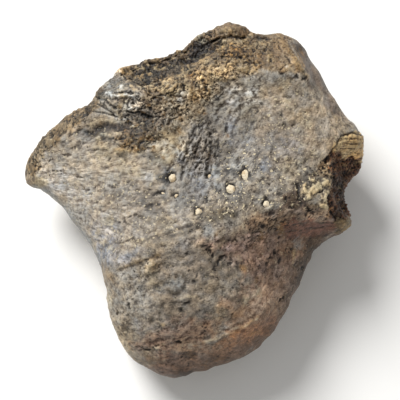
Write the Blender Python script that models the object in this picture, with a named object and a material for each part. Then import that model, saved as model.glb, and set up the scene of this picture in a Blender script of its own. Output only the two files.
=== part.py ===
"""Fossil toe bone of a large plant-eating dinosaur, life size, lying on its sole side.

The frame is in metres with +Z up. +Y points to the proximal end, which met the foot, and -Y to the
rounded condyle, which met the next toe bone. -X is the long thin flare, and +X is the broken corner.
The origin is on the surface it lies on, under the middle of the bone.

The bone is one solid. A blank is lofted from its outline, the broken corner is bitten out of it,
its faces are evened, and the swells and hollows of each side are then worked into the surface.
"""

import math

import bmesh
import bpy
import numpy as np
from mathutils import Vector, noise

MM = 0.001

# Driving sizes, in millimetres. Plan positions are measured from the middle of the dorsal hollow.
CROWN = 33.0  # height of the dorsal surface over the middle
ARCH = 3.6  # height of the sole over the floor under the middle
FACE = 1.74  # side of one face of the finished solid
RIM_STEPS = 8  # loft points between two marks of the outline
WALL_STEPS = 44  # loft points from the middle of the back round to the middle of the sole
LUMP_HEIGHT = 0.55  # how far the weathered surface wanders in and out
LUMP_SPACING = 7.0
LUMP_FRACTAL = (0.9, 2.1, 4)
LUMP_ORIGIN = Vector((3.1, 7.7, 1.3))

BONE_COLOUR = (0.105, 0.094, 0.084, 1.0)
BONE_ROUGHNESS = 0.78

# The outline seen from above, as anatomical marks taken clockwise from the tip of the flare:
# plan x, plan y, height of the dorsal edge, height of the sole edge, and how square the wall is.
OUTLINE = (
    ("flare tip", -42.7, 6.2, 20.0, 9.0, 2.4),
    ("flare rim", -40.3, 12.6, 25.0, 7.0, 3.2),
    ("flare shoulder", -35.6, 17.1, 28.5, 4.5, 4.0),
    ("rim, flare side", -30.2, 21.0, 31.5, 3.0, 4.5),
    ("rim notch", -25.5, 23.0, 32.0, 2.0, 5.0),
    ("rim step", -24.5, 27.3, 30.5, 1.5, 5.0),
    ("rim, upper", -19.3, 33.6, 30.5, 1.0, 5.5),
    ("rim, middle", -9.4, 36.3, 31.5, 1.0, 6.0),
    ("lip, flare side", -1.0, 39.8, 34.5, 1.0, 6.0),
    ("lip peak", 7.2, 41.2, 38.0, 1.0, 6.0),
    ("lip dip", 13.9, 38.3, 38.0, 1.0, 6.0),
    ("rim corner", 22.6, 36.9, 38.0, 1.5, 6.0),
    ("side, upper", 29.1, 26.8, 36.0, 2.0, 6.0),
    ("side, lower", 34.3, 19.8, 33.5, 3.0, 5.0),
    ("broken corner", 39.4, 14.4, 31.0, 5.0, 4.5),
    ("break, outer", 39.0, 8.8, 30.0, 5.5, 4.5),
    ("break, notch", 34.3, 3.4, 31.0, 5.5, 6.0),
    ("break, foot", 36.5, -4.9, 27.0, 6.5, 4.2),
    ("waist, broken side", 29.6, -8.9, 27.0, 5.0, 2.6),
    ("condyle neck", 24.9, -15.8, 27.0, 3.0, 2.4),
    ("condyle side", 22.3, -22.2, 26.5, 1.5, 2.4),
    ("condyle corner", 16.5, -30.5, 25.0, 1.5, 2.5),
    ("condyle front", 7.3, -37.4, 23.5, 2.5, 2.6),
    ("condyle tip", -5.2, -41.6, 22.0, 2.0, 2.7),
    ("condyle front, flare side", -12.8, -38.7, 22.5, 1.5, 2.7),
    ("condyle corner, flare side", -18.9, -33.2, 24.0, 1.5, 2.8),
    ("condyle side, flare side", -22.2, -23.9, 25.5, 2.0, 3.0),
    ("waist, flare side", -23.6, -14.6, 26.0, 4.0, 3.0),
    ("flare root", -28.5, -6.2, 25.0, 6.0, 2.8),
    ("flare underside", -36.9, 2.7, 22.5, 8.0, 2.5),
)
OUTLINE_CENTRE = (-2.0, 0.0)

# Lumps bitten out of the blank where the corner broke off: middle x, y, z, then the three radii.
BREAK_BITES = (
    ("shelf of the break", (38.8, 12.8, 35.0), (7.6, 5.2, 9.5)),
    ("middle of the break", (39.2, 7.0, 36.0), (10.4, 5.4, 20.0)),
    ("foot of the break", (38.8, 0.0, 34.0), (9.8, 6.0, 19.0)),
)
BITE_SUBDIVISIONS = 4
BITE_ROUGHNESS = 1.3  # how far a bite wanders in and out
BITE_SPACING = 3.4
BITE_FRACTAL = (0.8, 2.0, 3)  # falloff, step between sizes and number of sizes

# The side that a form is seen from: the way it faces, and which two coordinates its path is drawn in.
SIDES = {
    "dorsal": ((0, 0, 1), (0, 1)),
    "sole": ((0, 0, -1), (0, 1)),
    "proximal": ((0, 1, 0), (0, 2)),
    "distal": ((0, -1, 0), (0, 2)),
    "broken side": ((1, 0, 0), (1, 2)),
    "flare side": ((-1, 0, 0), (1, 2)),
}
FACING_FROM = 0.10  # a form starts where the surface turns this far towards its side
FACING_FULL = 0.60

# Forms worked into the blank: side, path in that side's plane, reach from the path, and lift, which
# is outwards where it is positive and inwards where it is negative.
FORMS = (
    ("dorsal hollow", "dorsal", ((4, 15), (-3, 3)), 15.0, -3.0),
    ("flare valley", "dorsal", ((-12, 6), (-26, 4)), 12.0, -1.4),
    ("condyle ridge", "dorsal", ((-19, -16), (-9, -12.6), (2, -9.8), (14, -6.4), (27, -2.0)), 6.5, 1.6),
    ("step under the ridge", "dorsal", ((6, -14), (18, -11), (28, -7)), 5.0, -1.3),
    ("condyle back", "dorsal", ((-8, -27), (6, -25)), 13.0, 1.4),
    ("condyle front edge", "dorsal", ((0, -34.2), (9.3, -30.3), (15, -25.5)), 3.2, 0.8),
    ("rim swell", "dorsal", ((-17, 22.5), (-9, 23), (-2, 25), (6, 28), (20, 28)), 7.5, 1.9),
    ("rim terrace", "dorsal", ((-20.5, 29), (-14, 31.6), (-8, 32.2), (-2.6, 34.4), (2, 36.2)), 6.2, -3.4),
    ("rim groove", "dorsal", ((-1.1, 32.5), (4, 35.2), (12, 36.0)), 2.8, -2.4),
    ("side facet", "dorsal", ((24, 33.5), (28.5, 24), (33.5, 17)), 3.6, -1.4),
    ("flare fissure", "dorsal", ((-26.7, 14.7), (-21.8, 15.4), (-16.0, 16.6), (-10.9, 18.2)), 3.0, -1.3),
    ("flare rim swell", "dorsal", ((-37, 12), (-30, 17.5), (-22, 20.5)), 4.0, 0.7),
    ("articular dish", "proximal", ((-12, 17), (12, 18)), 15.0, -3.2),
    ("articular keel", "proximal", ((2, 8), (2, 30)), 6.0, 0.9),
    ("flare heel", "sole", ((-17, 19), (-11, 22)), 11.0, 3.9),
    ("outer heel", "sole", ((17, 22), (23, 18)), 11.0, 3.9),
    ("tendon groove", "sole", ((3, 30), (2, 12)), 7.0, -2.2),
    ("condyle sole", "sole", ((-12, -25), (8, -25)), 13.0, 5.6),
    ("condyle groove", "sole", ((-2, -38), (-2, -14)), 5.0, -1.6),
    ("sole hollow", "sole", ((-10, 0), (14, 2)), 13.0, -2.0),
    ("condyle front groove", "distal", ((-2, 2), (-2, 22)), 6.0, -1.0),
    ("ligament pit, flare side", "flare side", ((-24, 11), (-23, 11)), 6.0, -1.8),
    ("ligament pit, outer side", "broken side", ((-23, 11), (-22, 11)), 6.0, -1.8),
)


def remove_all_objects():
    for obj in list(bpy.data.objects):
        bpy.data.objects.remove(obj, do_unlink=True)


def catmull_rom(before, start, end, after, share):
    """A point a share of the way from start to end, on the curve that also bends to its neighbours."""
    return 0.5 * (
        2 * start
        + (end - before) * share
        + (2 * before - 5 * start + 4 * end - after) * share**2
        + (3 * start - before - 3 * end + after) * share**3
    )


def outline_points():
    """The closed outline as rows of x, y, dorsal edge, sole edge and squareness."""
    marks = np.array([mark[1:] for mark in OUTLINE])
    count = len(marks)
    rows = []
    for i in range(count):
        around = [marks[(i + step) % count] for step in (-1, 0, 1, 2)]
        for step in range(RIM_STEPS):
            rows.append(catmull_rom(*around, step / RIM_STEPS))
    return rows


def wall_point(mark, angle):
    """A point of the blank on one mark's section, from the middle of the back (0) to the sole (pi)."""
    x, y, dorsal_edge, sole_edge, square = mark
    across = abs(math.sin(angle)) ** (2 / square)
    level = math.copysign(abs(math.cos(angle)) ** (2 / square), math.cos(angle))
    top = CROWN + (dorsal_edge - CROWN) * across**2
    bottom = ARCH + (sole_edge - ARCH) * across**2
    return Vector((
        OUTLINE_CENTRE[0] + (x - OUTLINE_CENTRE[0]) * across,
        OUTLINE_CENTRE[1] + (y - OUTLINE_CENTRE[1]) * across,
        (top + bottom) / 2 + (top - bottom) / 2 * level,
    ))


def loft_blank():
    """The bone's plain bulk: rings that grow from the back to the rim and shrink again to the sole."""
    bm = bmesh.new()
    marks = outline_points()
    rings = []
    for i in range(1, WALL_STEPS):
        angle = math.pi * i / WALL_STEPS
        rings.append([bm.verts.new(wall_point(mark, angle)) for mark in marks])
    back = bm.verts.new((*OUTLINE_CENTRE, CROWN))
    sole = bm.verts.new((*OUTLINE_CENTRE, ARCH))
    count = len(marks)
    for i in range(count):
        j = (i + 1) % count
        bm.faces.new((back, rings[0][i], rings[0][j]))
        bm.faces.new((sole, rings[-1][j], rings[-1][i]))
        for upper, lower in zip(rings, rings[1:]):
            bm.faces.new((upper[i], lower[i], lower[j], upper[j]))
    bmesh.ops.recalc_face_normals(bm, faces=bm.faces)
    bmesh.ops.scale(bm, vec=(MM, MM, MM), verts=bm.verts)
    mesh = bpy.data.meshes.new("toe_bone")
    bm.to_mesh(mesh)
    bm.free()
    bone = bpy.data.objects.new("toe_bone", mesh)
    bpy.context.scene.collection.objects.link(bone)
    return bone


def bite_cutter(name, middle, radii):
    """A rough ellipsoid, as a helper that is left out of the model."""
    bpy.ops.mesh.primitive_ico_sphere_add(subdivisions=BITE_SUBDIVISIONS, radius=1.0)
    cutter = bpy.context.object
    cutter.name = name
    for vert in cutter.data.vertices:
        out = vert.co.normalized()
        at = Vector(middle) + Vector(r * o for r, o in zip(radii, out))
        rough = BITE_ROUGHNESS * noise.fractal(at / BITE_SPACING + LUMP_ORIGIN, *BITE_FRACTAL)
        vert.co = (at + out * rough) * MM
    cutter.hide_render = True
    cutter.display_type = "WIRE"
    return cutter


def apply_modifier(obj, modifier):
    """Puts one modifier's result into the object's own mesh."""
    bpy.ops.object.select_all(action="DESELECT")
    bpy.context.view_layer.objects.active = obj
    obj.select_set(True)
    bpy.ops.object.modifier_apply(modifier=modifier.name)


def bite_out_the_break(bone):
    for name, middle, radii in BREAK_BITES:
        cutter = bite_cutter(name, middle, radii)
        cut = bone.modifiers.new(name, "BOOLEAN")
        cut.operation = "DIFFERENCE"
        cut.solver = "EXACT"
        cut.object = cutter
        apply_modifier(bone, cut)
        bpy.data.objects.remove(cutter, do_unlink=True)


def even_the_faces(bone):
    """Gives the whole surface faces of one size, so that the forms can be worked into it anywhere."""
    remesh = bone.modifiers.new("even faces", "REMESH")
    remesh.mode = "VOXEL"
    remesh.voxel_size = FACE * MM
    apply_modifier(bone, remesh)


def read_surface(bone):
    """Every point and its normal, in millimetres."""
    mesh = bone.data
    points = np.empty(len(mesh.vertices) * 3)
    normals = np.empty(len(mesh.vertices) * 3)
    mesh.vertices.foreach_get("co", points)
    mesh.vertex_normals.foreach_get("vector", normals)
    return points.reshape(-1, 3) / MM, normals.reshape(-1, 3)


def write_surface(bone, points):
    bone.data.vertices.foreach_set("co", (points * MM).ravel())
    bone.data.update()


def distance_to_path(points, path):
    """How far each flat point lies from a path of straight stretches."""
    nearest = np.full(len(points), np.inf)
    corners = np.array(path, float)
    for start, end in zip(corners, corners[1:]):
        along = end - start
        share = np.clip(((points - start) @ along) / (along @ along), 0, 1)
        foot = start + share[:, None] * along
        nearest = np.minimum(nearest, np.linalg.norm(points - foot, axis=1))
    return nearest


def work_in_the_forms(bone):
    points, normals = read_surface(bone)
    lift = np.zeros(len(points))
    for _name, side, path, reach, height in FORMS:
        way, plane = SIDES[side]
        facing = np.clip((normals @ np.array(way) - FACING_FROM) / (FACING_FULL - FACING_FROM), 0, 1)
        far = distance_to_path(points[:, plane], path) / reach
        lift += height * facing * np.clip(1 - far**2, 0, 1) ** 2
    for i, point in enumerate(points):
        at = Vector(point) / LUMP_SPACING + LUMP_ORIGIN
        lift[i] += LUMP_HEIGHT * noise.fractal(at, *LUMP_FRACTAL)
    write_surface(bone, points + normals * lift[:, None])


def set_down(bone):
    """Rubs small flats on the heels and under the condyle, and puts the origin under the middle."""
    points, _ = read_surface(bone)
    points[:, 2] = np.maximum(points[:, 2], 0)
    middle = (points.min(axis=0) + points.max(axis=0)) / 2
    points[:, :2] -= middle[:2]
    write_surface(bone, points)


def keep_one_closed_surface(bone):
    """Splits every face into triangles and drops any scrap that isn't part of the largest surface."""
    bm = bmesh.new()
    bm.from_mesh(bone.data)
    bmesh.ops.triangulate(bm, faces=bm.faces)
    unseen = set(bm.verts)
    pieces = []
    while unseen:
        piece, edge = set(), [next(iter(unseen))]
        while edge:
            vert = edge.pop()
            if vert in unseen:
                unseen.remove(vert)
                piece.add(vert)
                edge.extend(link.other_vert(vert) for link in vert.link_edges)
        pieces.append(piece)
    pieces.sort(key=len)
    scraps = [vert for piece in pieces[:-1] for vert in piece]
    bmesh.ops.delete(bm, geom=scraps, context="VERTS")
    bm.to_mesh(bone.data)
    bm.free()


def fossil_material():
    material = bpy.data.materials.new("fossil_bone")
    material.use_nodes = True
    shader = material.node_tree.nodes["Principled BSDF"]
    shader.inputs["Base Color"].default_value = BONE_COLOUR
    shader.inputs["Roughness"].default_value = BONE_ROUGHNESS
    shader.inputs["Metallic"].default_value = 0.0
    return material


def make_toe_bone():
    bone = loft_blank()
    bite_out_the_break(bone)
    even_the_faces(bone)
    work_in_the_forms(bone)
    set_down(bone)
    keep_one_closed_surface(bone)
    bone.data.shade_smooth()
    bone.data.materials.clear()
    bone.data.materials.append(fossil_material())
    return bone


remove_all_objects()
make_toe_bone()
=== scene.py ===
"""A fossil toe bone of a large plant-eating dinosaur, lying on a pale studio floor.

The solid bone is remeshed finely, its weathered relief is worked in, and its mineral colours are painted,
with some painted shade, painted highlights and a painted warm reflection among them.
Places on the back of the bone are given in the photograph's pixels, 400 across, and are thrown onto the
bone from the camera, so that each mark sits on the surface that carries it.
Sizes are in millimetres unless a comment says otherwise, and the scene itself is in metres.
"""

import math

import bpy
import numpy as np
from mathutils import Matrix, Vector, noise
from mathutils.bvhtree import BVHTree


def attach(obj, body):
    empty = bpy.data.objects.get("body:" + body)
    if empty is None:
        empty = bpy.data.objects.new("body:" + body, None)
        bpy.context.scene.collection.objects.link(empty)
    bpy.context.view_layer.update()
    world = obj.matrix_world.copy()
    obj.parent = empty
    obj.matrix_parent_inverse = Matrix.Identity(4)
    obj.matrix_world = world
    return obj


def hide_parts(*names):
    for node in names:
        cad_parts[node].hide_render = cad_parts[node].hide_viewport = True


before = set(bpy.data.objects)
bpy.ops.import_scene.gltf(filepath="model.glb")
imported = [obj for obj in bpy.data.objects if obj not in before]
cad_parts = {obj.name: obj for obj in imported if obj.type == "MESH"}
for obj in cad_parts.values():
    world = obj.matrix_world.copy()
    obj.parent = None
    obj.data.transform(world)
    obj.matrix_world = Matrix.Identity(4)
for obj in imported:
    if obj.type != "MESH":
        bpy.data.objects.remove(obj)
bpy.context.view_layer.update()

MM = 0.001

# The camera, in millimetres from the origin, and the photograph's frame.
PHOTO = 400
LENS = 100.0
SENSOR = 36.0
AIM = np.array([1.61, 0.26, 22.0])
CAMERA_FAR = 261.1
CAMERA_UP = math.radians(80.0)
SIGHT = np.array([0.0, math.cos(CAMERA_UP), -math.sin(CAMERA_UP)])  # the way the camera looks
PICTURE_UP = np.array([0.0, math.sin(CAMERA_UP), math.cos(CAMERA_UP)])
FOCAL = PHOTO * LENS / SENSOR  # in pixels
PIXEL = CAMERA_FAR / FOCAL  # the size of one pixel on the bone

# The light: a round soft key behind and to the left, in metres and watts, and an even fill.
KEY_PLACE = (-0.32, 0.42, 0.55)
KEY_AIM = (0, 0, 0.02)
KEY_WIDTH = 0.35
KEY_POWER = 7.5
FILL = 0.42
FLOOR_BELOW = 0.2  # the floor lies this far below the bone

# The fine mesh.
MERGED_WITHIN = 0.01  # points of the solid this close become one
VOXEL = 0.89  # the size of the faces before any are made finer
FINE_FROM = 0.15  # faces that turn at least this far to the camera are made finer
FINE_BREAK_FROM = -0.3  # the same for the steep faces of the break, which hardly face the camera
BROKEN = ("broken tan", "broken black")  # the patches of the break
# The patches where faces are made finer once more.
FINEST = ("spongy rim", "rim band", "far lip", "calcite", "slabs", "mottled middle", "brown stain",
          "dark hollow", "broken tan", "broken black", "cream crust", "dark by the break")

# How far a face turns to the camera where it starts to take relief or paint, and how much further it turns
# where it takes all of it.
TOP = (0.35, 0.4)  # patches worked in as a whole
SEEN = (-0.30, 0.35)  # lines, marks and most patches of paint
OVER_THE_EDGE = (-0.25, 0.35)  # patches of paint that go on over the edge
DOWN_THE_BREAK = (-0.95, 0.3)  # patches of paint on the broken corner

FRACTAL = (0.8, 2.0)  # how fast the finer lumps of noise weaken, and how many times finer each step is

# How far borders stray, in pixels: those of patches, more so the lower they are on the break, and of marks.
PATCH_STRAY = 6.0
BREAK_STRAY = 12.0
MARK_STRAY = 1.2

# Small pulls that even up the outline, as with a grab brush: pixel across, pixel down, reach, and how far
# it moves to the right and up, all in pixels.
PULLS = (
    (35, 187, 7, 0, -1.8), (317, 72, 24, 2.5, 1.5), (302, 48, 12, 0.8, 0.9), (334, 99, 15, 0.9, 0.6),
    (355, 125, 10, 0.9, 0.8), (366, 147, 10, -1.8, 0.0), (338, 234, 11, 0.9, -1.8),
    (315, 253, 10, -1.8, 1.3), (297, 286, 22, 1.2, -0.7), (250, 350, 22, 2.0, -2.4),
    (273, 330, 12, 0.8, -0.5), (217, 368, 12, -0.5, 1.7), (187, 374, 9, 0.2, -1.8), (167, 377, 9, 0.0, 1.1),
    (104, 291, 10, 2.6, 0.0), (96, 255, 13, -0.9, -0.6), (62, 209, 15, 0.9, 1.0), (30, 182, 9, -1.0, -1.3),
    (65, 118, 10, -1.0, 1.7), (109, 76, 14, 1.9, -1.9), (125, 66, 8, 0.3, -0.8), (147, 62, 13, -0.5, 2.3),
    (182, 45, 15, 1.1, -2.3), (211, 27, 13, 1.4, -3.4), (220, 22, 8, 0.8, -1.9), (229, 23, 6, 0.0, 1.3),
    (243, 26, 9, 0.9, 1.9), (288, 35, 8, 0.0, -0.9), (277, 34, 8, 0.0, 0.9), (269, 337, 10, 0.9, -0.7),
    (284, 312, 12, 0.8, -0.3), (307, 54, 9, 1.0, 0.8), (237, 25, 7, 0.3, 0.9), (222, 23, 7, 0.0, -0.8),
    (211, 29, 7, 0.5, -0.4), (110, 77, 9, 0.6, -0.5), (157, 58, 8, 0.0, 0.7), (345, 195, 8, 0.8, 0.0),
    (351, 214, 8, -0.8, 0.0), (243, 357, 10, 0.4, -0.7), (327, 239, 9, 0.5, -0.7), (261, 344, 8, 0.7, -0.8),
    (288, 305, 11, 0.9, -0.3), (107, 300, 8, 0.6, 0.0), (211, 369, 7, -0.2, 0.8), (27, 160, 9, -0.5, 0.3))

# Patches of the back: outline in pixels, feather in pixels, light colour, dark colour, and how strong
# the paint is. Each is painted over the ones before it.
PATCHES = {
    "pale flare": (((24, 178), (34, 150), (55, 132), (85, 134), (120, 139), (165, 136), (184, 150),
        (172, 176), (160, 190), (185, 215), (180, 232), (150, 246), (112, 266), (98, 258), (70, 214),
        (50, 194)), 14, "#bfb5a6", "#6e645a", 1.0),
    "lower flare": (((84, 214), (130, 214), (190, 210), (214, 226), (180, 240), (150, 248), (112, 268),
        (98, 258)), 14, "#a49c92", "#59524b", 0.9),
    "worn saddle": (((96, 190), (130, 184), (158, 180), (172, 196), (168, 216), (136, 222), (104, 208)), 12,
        "#9a9083", "#4c433a", 0.85),
    "blue hollow": (((200, 112), (214, 88), (232, 76), (262, 76), (268, 96), (258, 118), (246, 150),
        (236, 172), (222, 196), (200, 205), (172, 198), (160, 186), (166, 168), (180, 148)), 12, "#928c83",
        "#443c35", 0.9),
    "dark hollow": (((196, 120), (214, 124), (218, 140), (216, 160), (210, 176), (196, 174), (184, 172),
        (176, 162), (188, 138)), 9, "#77716a", "#352e27", 0.75),
    "pale hollow": (((224, 84), (240, 78), (264, 80), (266, 100), (252, 120), (232, 124), (220, 112),
        (216, 96)), 10, "#b5ab9b", "#564b40", 0.85),
    "pale right": (((266, 84), (300, 84), (330, 112), (345, 132), (322, 156), (300, 166), (262, 160),
        (258, 124)), 14, "#b5a694", "#665b4e", 0.9),
    "speckled middle": (((222, 156), (262, 146), (300, 156), (322, 172), (300, 205), (240, 212), (200, 225),
        (190, 205), (215, 190)), 12, "#a49b8e", "#423b34", 0.85),
    "worn crest": (((186, 216), (206, 206), (244, 206), (270, 206), (262, 220), (236, 226), (205, 234),
        (186, 232)), 8, "#948a7c", "#3d352c", 0.85),
    "mottled middle": (((130, 98), (160, 94), (196, 92), (210, 84), (222, 86), (206, 108), (196, 122),
        (180, 130), (150, 134), (124, 130), (118, 112)), 9, "#b8a88f", "#463726", 0.9),
    "warm middle": (((148, 134), (166, 126), (184, 130), (186, 146), (172, 166), (154, 162)), 10, "#b8a88a",
        "#63523a", 0.85),
    "spongy rim": (((118, 78), (122, 72), (130, 74), (158, 77), (188, 70), (203, 51), (222, 38), (240, 35),
        (264, 33), (290, 34), (300, 60), (308, 77), (296, 71), (282, 69), (262, 71), (250, 74), (232, 79),
        (212, 86), (206, 100), (190, 106), (178, 96), (160, 98), (146, 92), (132, 84)), 6, "#a08c6e",
        "#3c2d1c", 1.0),
    "spongy shade": (((206, 50), (224, 43), (250, 42), (262, 50), (256, 60), (236, 62), (214, 58)), 7,
        "#6f5c42", "#20170e", 0.9),
    "rim corner": (((256, 38), (272, 32), (288, 34), (300, 56), (311, 79), (299, 71), (284, 68), (264, 69),
        (258, 54)), 8, "#9b866c", "#503f2d", 0.9),
    "spongy lump": (((154, 88), (160, 80), (174, 78), (182, 84), (178, 92), (164, 95)), 5, "#b8a37f",
        "#4c3e2a", 0.9),
    "brown stain": (((112, 135), (130, 130), (152, 130), (162, 140), (150, 152), (124, 150)), 9, "#705a3b",
        "#130d08", 0.95),
    "rim band": (((123, 80), (123, 68), (136, 60), (172, 50), (190, 40), (202, 28), (216, 31), (212, 44),
        (203, 56), (190, 69), (164, 77), (154, 84), (142, 86), (132, 81)), 4, "#5a4a38", "#0d0906", 1.0),
    "rim black": (((174, 63), (190, 46), (204, 38), (224, 38), (219, 48), (210, 56), (198, 62)), 5,
        "#2f2825", "#060505", 0.95),
    "far lip": (((203, 33), (208, 22), (224, 14), (244, 16), (264, 30), (262, 37), (240, 36), (222, 37),
        (210, 38)), 3, "#7f6a52", "#33281b", 1.0),
    "calcite": (((92, 96), (98, 84), (112, 70), (122, 72), (124, 80), (140, 90), (144, 106), (124, 113),
        (106, 104)), 6, "#9a9388", "#1b1612", 0.95),
    "slabs": (((92, 98), (104, 98), (120, 112), (118, 120), (100, 119), (86, 110)), 5, "#989288", "#2f2a25",
        0.9),
    "dark middle": (((120, 112), (140, 108), (158, 110), (174, 118), (168, 130), (148, 134), (126, 131)), 7,
        "#8a7e70", "#18110d", 0.85),
    "dark stain": (((120, 112), (140, 108), (153, 106), (154, 118), (140, 121), (124, 120)), 6, "#7d756b",
        "#1c1815", 0.8),
    "flare bevel": (((20, 176), (24, 150), (40, 128), (64, 112), (94, 98), (102, 107), (90, 119), (74, 130),
        (58, 142), (47, 154), (41, 168), (35, 182)), 8, "#7a6649", "#1a130c", 0.95),
    "side facet": (((287, 38), (298, 40), (312, 58), (330, 88), (350, 120), (338, 116), (312, 86),
        (298, 62)), 4, "#81746a", "#4a4037", 1.0),
    "tan strip": (((278, 38), (287, 38), (297, 58), (312, 78), (306, 80), (290, 62)), 4, "#a88f6e",
        "#5a4632", 0.9),
    "dark by the break": (((312, 176), (322, 160), (332, 152), (338, 168), (338, 184), (332, 190),
        (320, 182)), 6, "#9a8468", "#281b12", 0.9),
    "cream crust": (((301, 185), (316, 179), (331, 180), (331, 207), (320, 209), (305, 201)), 4, "#a59781",
        "#544a40", 0.95),
    "brown by the crust": (((280, 200), (297, 183), (304, 198), (313, 211), (284, 212)), 5, "#5e4d40",
        "#160f0a", 0.95),
    "broken tan": (((339, 137), (353, 130), (370, 134), (370, 165), (361, 163), (354, 161), (347, 162),
        (340, 157), (330, 152)), 2.5, "#dcbe8c", "#7c5f3e", 1.0),
    # The near-black of the break is partly the spongy interior's own colour and partly painted shade.
    "broken black": (((324, 161), (333, 151), (341, 156), (348, 160), (356, 160), (368, 163), (366, 178),
        (354, 188), (352, 196), (356, 217), (336, 221), (329, 212), (327, 200), (331, 190), (335, 182),
        (334, 172), (329, 166)), 3, "#6c4630", "#060302", 1.0),
    "condyle grey": (((112, 268), (160, 252), (205, 244), (250, 240), (262, 262), (258, 300), (225, 325),
        (170, 350), (130, 352), (106, 312)), 12, "#978b7d", "#524a41", 0.9),
    "condyle left": (((112, 272), (150, 258), (160, 290), (150, 320), (124, 330), (110, 306)), 14,
        "#bbb2a4", "#5a534c", 0.8),
    # Its reddish brown is partly the bone's own colour and partly a painted warm reflection.
    "under the ridge": (((205, 246), (240, 230), (282, 214), (335, 214), (352, 222), (340, 236), (312, 252),
        (300, 290), (262, 300), (240, 270)), 20, "#9c8170", "#4a352a", 0.95),
    "crumbled ledge": (((246, 226), (266, 212), (286, 205), (304, 207), (334, 209), (338, 220), (318, 222),
        (298, 218), (284, 222), (268, 236)), 5, "#94806f", "#3a2b22", 0.95),
    # Its reddish brown is partly the bone's own colour and partly a painted warm reflection.
    "smooth brown": (((282, 224), (300, 219), (320, 222), (340, 220), (348, 226), (320, 237), (286, 236)),
        7, "#8f6350", "#412218", 0.9),
    "broken foot": (((335, 221), (352, 217), (356, 230), (342, 235)), 3, "#80704f", "#2c2115", 0.9),
    "condyle brown": (((225, 300), (262, 285), (300, 262), (296, 300), (272, 338), (240, 345), (228, 325)),
        22, "#a18a79", "#574234", 0.9),
    # Its reddish brown is partly the bone's own colour and partly a painted warm reflection.
    "condyle low": (((140, 344), (160, 324), (200, 316), (228, 322), (205, 345), (160, 356), (130, 354)),
        16, "#ab8f7b", "#452c20", 0.8),
    # Its reddish brown is partly the bone's own colour and partly a painted warm reflection.
    "distal face": (((170, 352), (205, 347), (240, 333), (264, 314), (284, 318), (262, 352), (205, 374),
        (170, 382), (140, 370)), 14, "#8e6b56", "#432d21", 0.78),
    "condyle margin": (((100, 290), (112, 286), (117, 306), (124, 334), (138, 362), (120, 352), (104, 318)),
        5, "#b5aa98", "#5f564b", 0.9),
}
WRAPPED = ("flare bevel", "rim band", "rim black", "far lip", "distal face")  # these go on over the edge
CORNER = ("broken tan", "broken black", "broken foot")  # these go right down the broken corner

# Lines painted on the back: path in pixels, reach in pixels, light colour, dark colour, strength.
PAINTED_LINES = {
    "ridge shade": (((120, 262), (150, 250), (180, 240), (205, 233), (232, 230)), 12, "#a19586", "#3a3028",
        0.7),
    # A painted bluish highlight of light bounced up onto the flare's underside.
    "flare underside": (((36, 188), (50, 196), (64, 208), (76, 224), (90, 244), (99, 260)), 7, "#a6a6a3",
        "#6d6b67", 0.85),
    "fissure": (((79, 131), (86, 133), (92, 134), (98, 129.5), (104, 127.5), (112, 127), (122, 127.5),
        (134, 128)), 7.5, "#52453b", "#0f0a08", 1.0),
    "upper fissure": (((127, 112), (138, 113), (150, 117)), 3.5, "#4c443d", "#151210", 0.85),
    "over the streak": (((204, 339), (222, 332.5), (240, 324.5), (257, 315)), 1.8, "#6b5745", "#33241a",
        0.4),
    "cream streak": (((203, 343), (214, 339), (226, 335.5), (240, 329), (250, 323), (258, 317.5)), 2.2,
        "#b3946c", "#664c35", 0.5),
    "below the streak": (((222, 344), (244, 334), (262, 322)), 9, "#8f6d54", "#4a3325", 0.7),
    "break edge": (((331, 153), (337, 144), (340, 137), (352, 132), (362, 135)), 2.2, "#5e4c35", "#1c130b",
        0.85),
    "facet sheen": (((289, 41), (296, 55), (304, 70), (314, 86)), 3, "#9c978f", "#5c564f", 0.7),
    "edge of the facet": (((304, 48), (314, 66), (324, 84), (334, 102), (344, 120)), 3, "#8b8177",
        "#50483f", 0.6),
    "rust on the facet": (((294, 44), (299, 54), (305, 62)), 1.6, "#80623c", "#4a3623", 0.8),
    "end of the groove": (((238, 38), (252, 39), (266, 39)), 4, "#5c4c3a", "#181109", 0.8),
    # Painted shade along the lower edge.
    "painted shade on the lower edge": (((150, 371), (178, 378), (205, 371), (240, 360), (257, 350), (275, 331), (291, 300),
        (300, 284)), 6, "#6b5546", "#2b1d15", 0.55),
    # Painted shade along the edge under the break.
    "painted shade on the edge under the break": (((348, 233), (330, 241), (314, 250), (306, 263), (299, 284)), 6, "#66503f",
        "#2a1c14", 0.6),
    "saddle line": (((152, 238), (176, 230), (202, 221)), 2.4, "#7d6b54", "#40342a", 0.6),
    "ridge line": (((118, 270), (135, 263), (158, 256)), 3.5, "#84704f", "#41362c", 0.8),
}
LONG_REACH = 8  # a painted line with this reach or more has borders that stray as those of patches do

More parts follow.
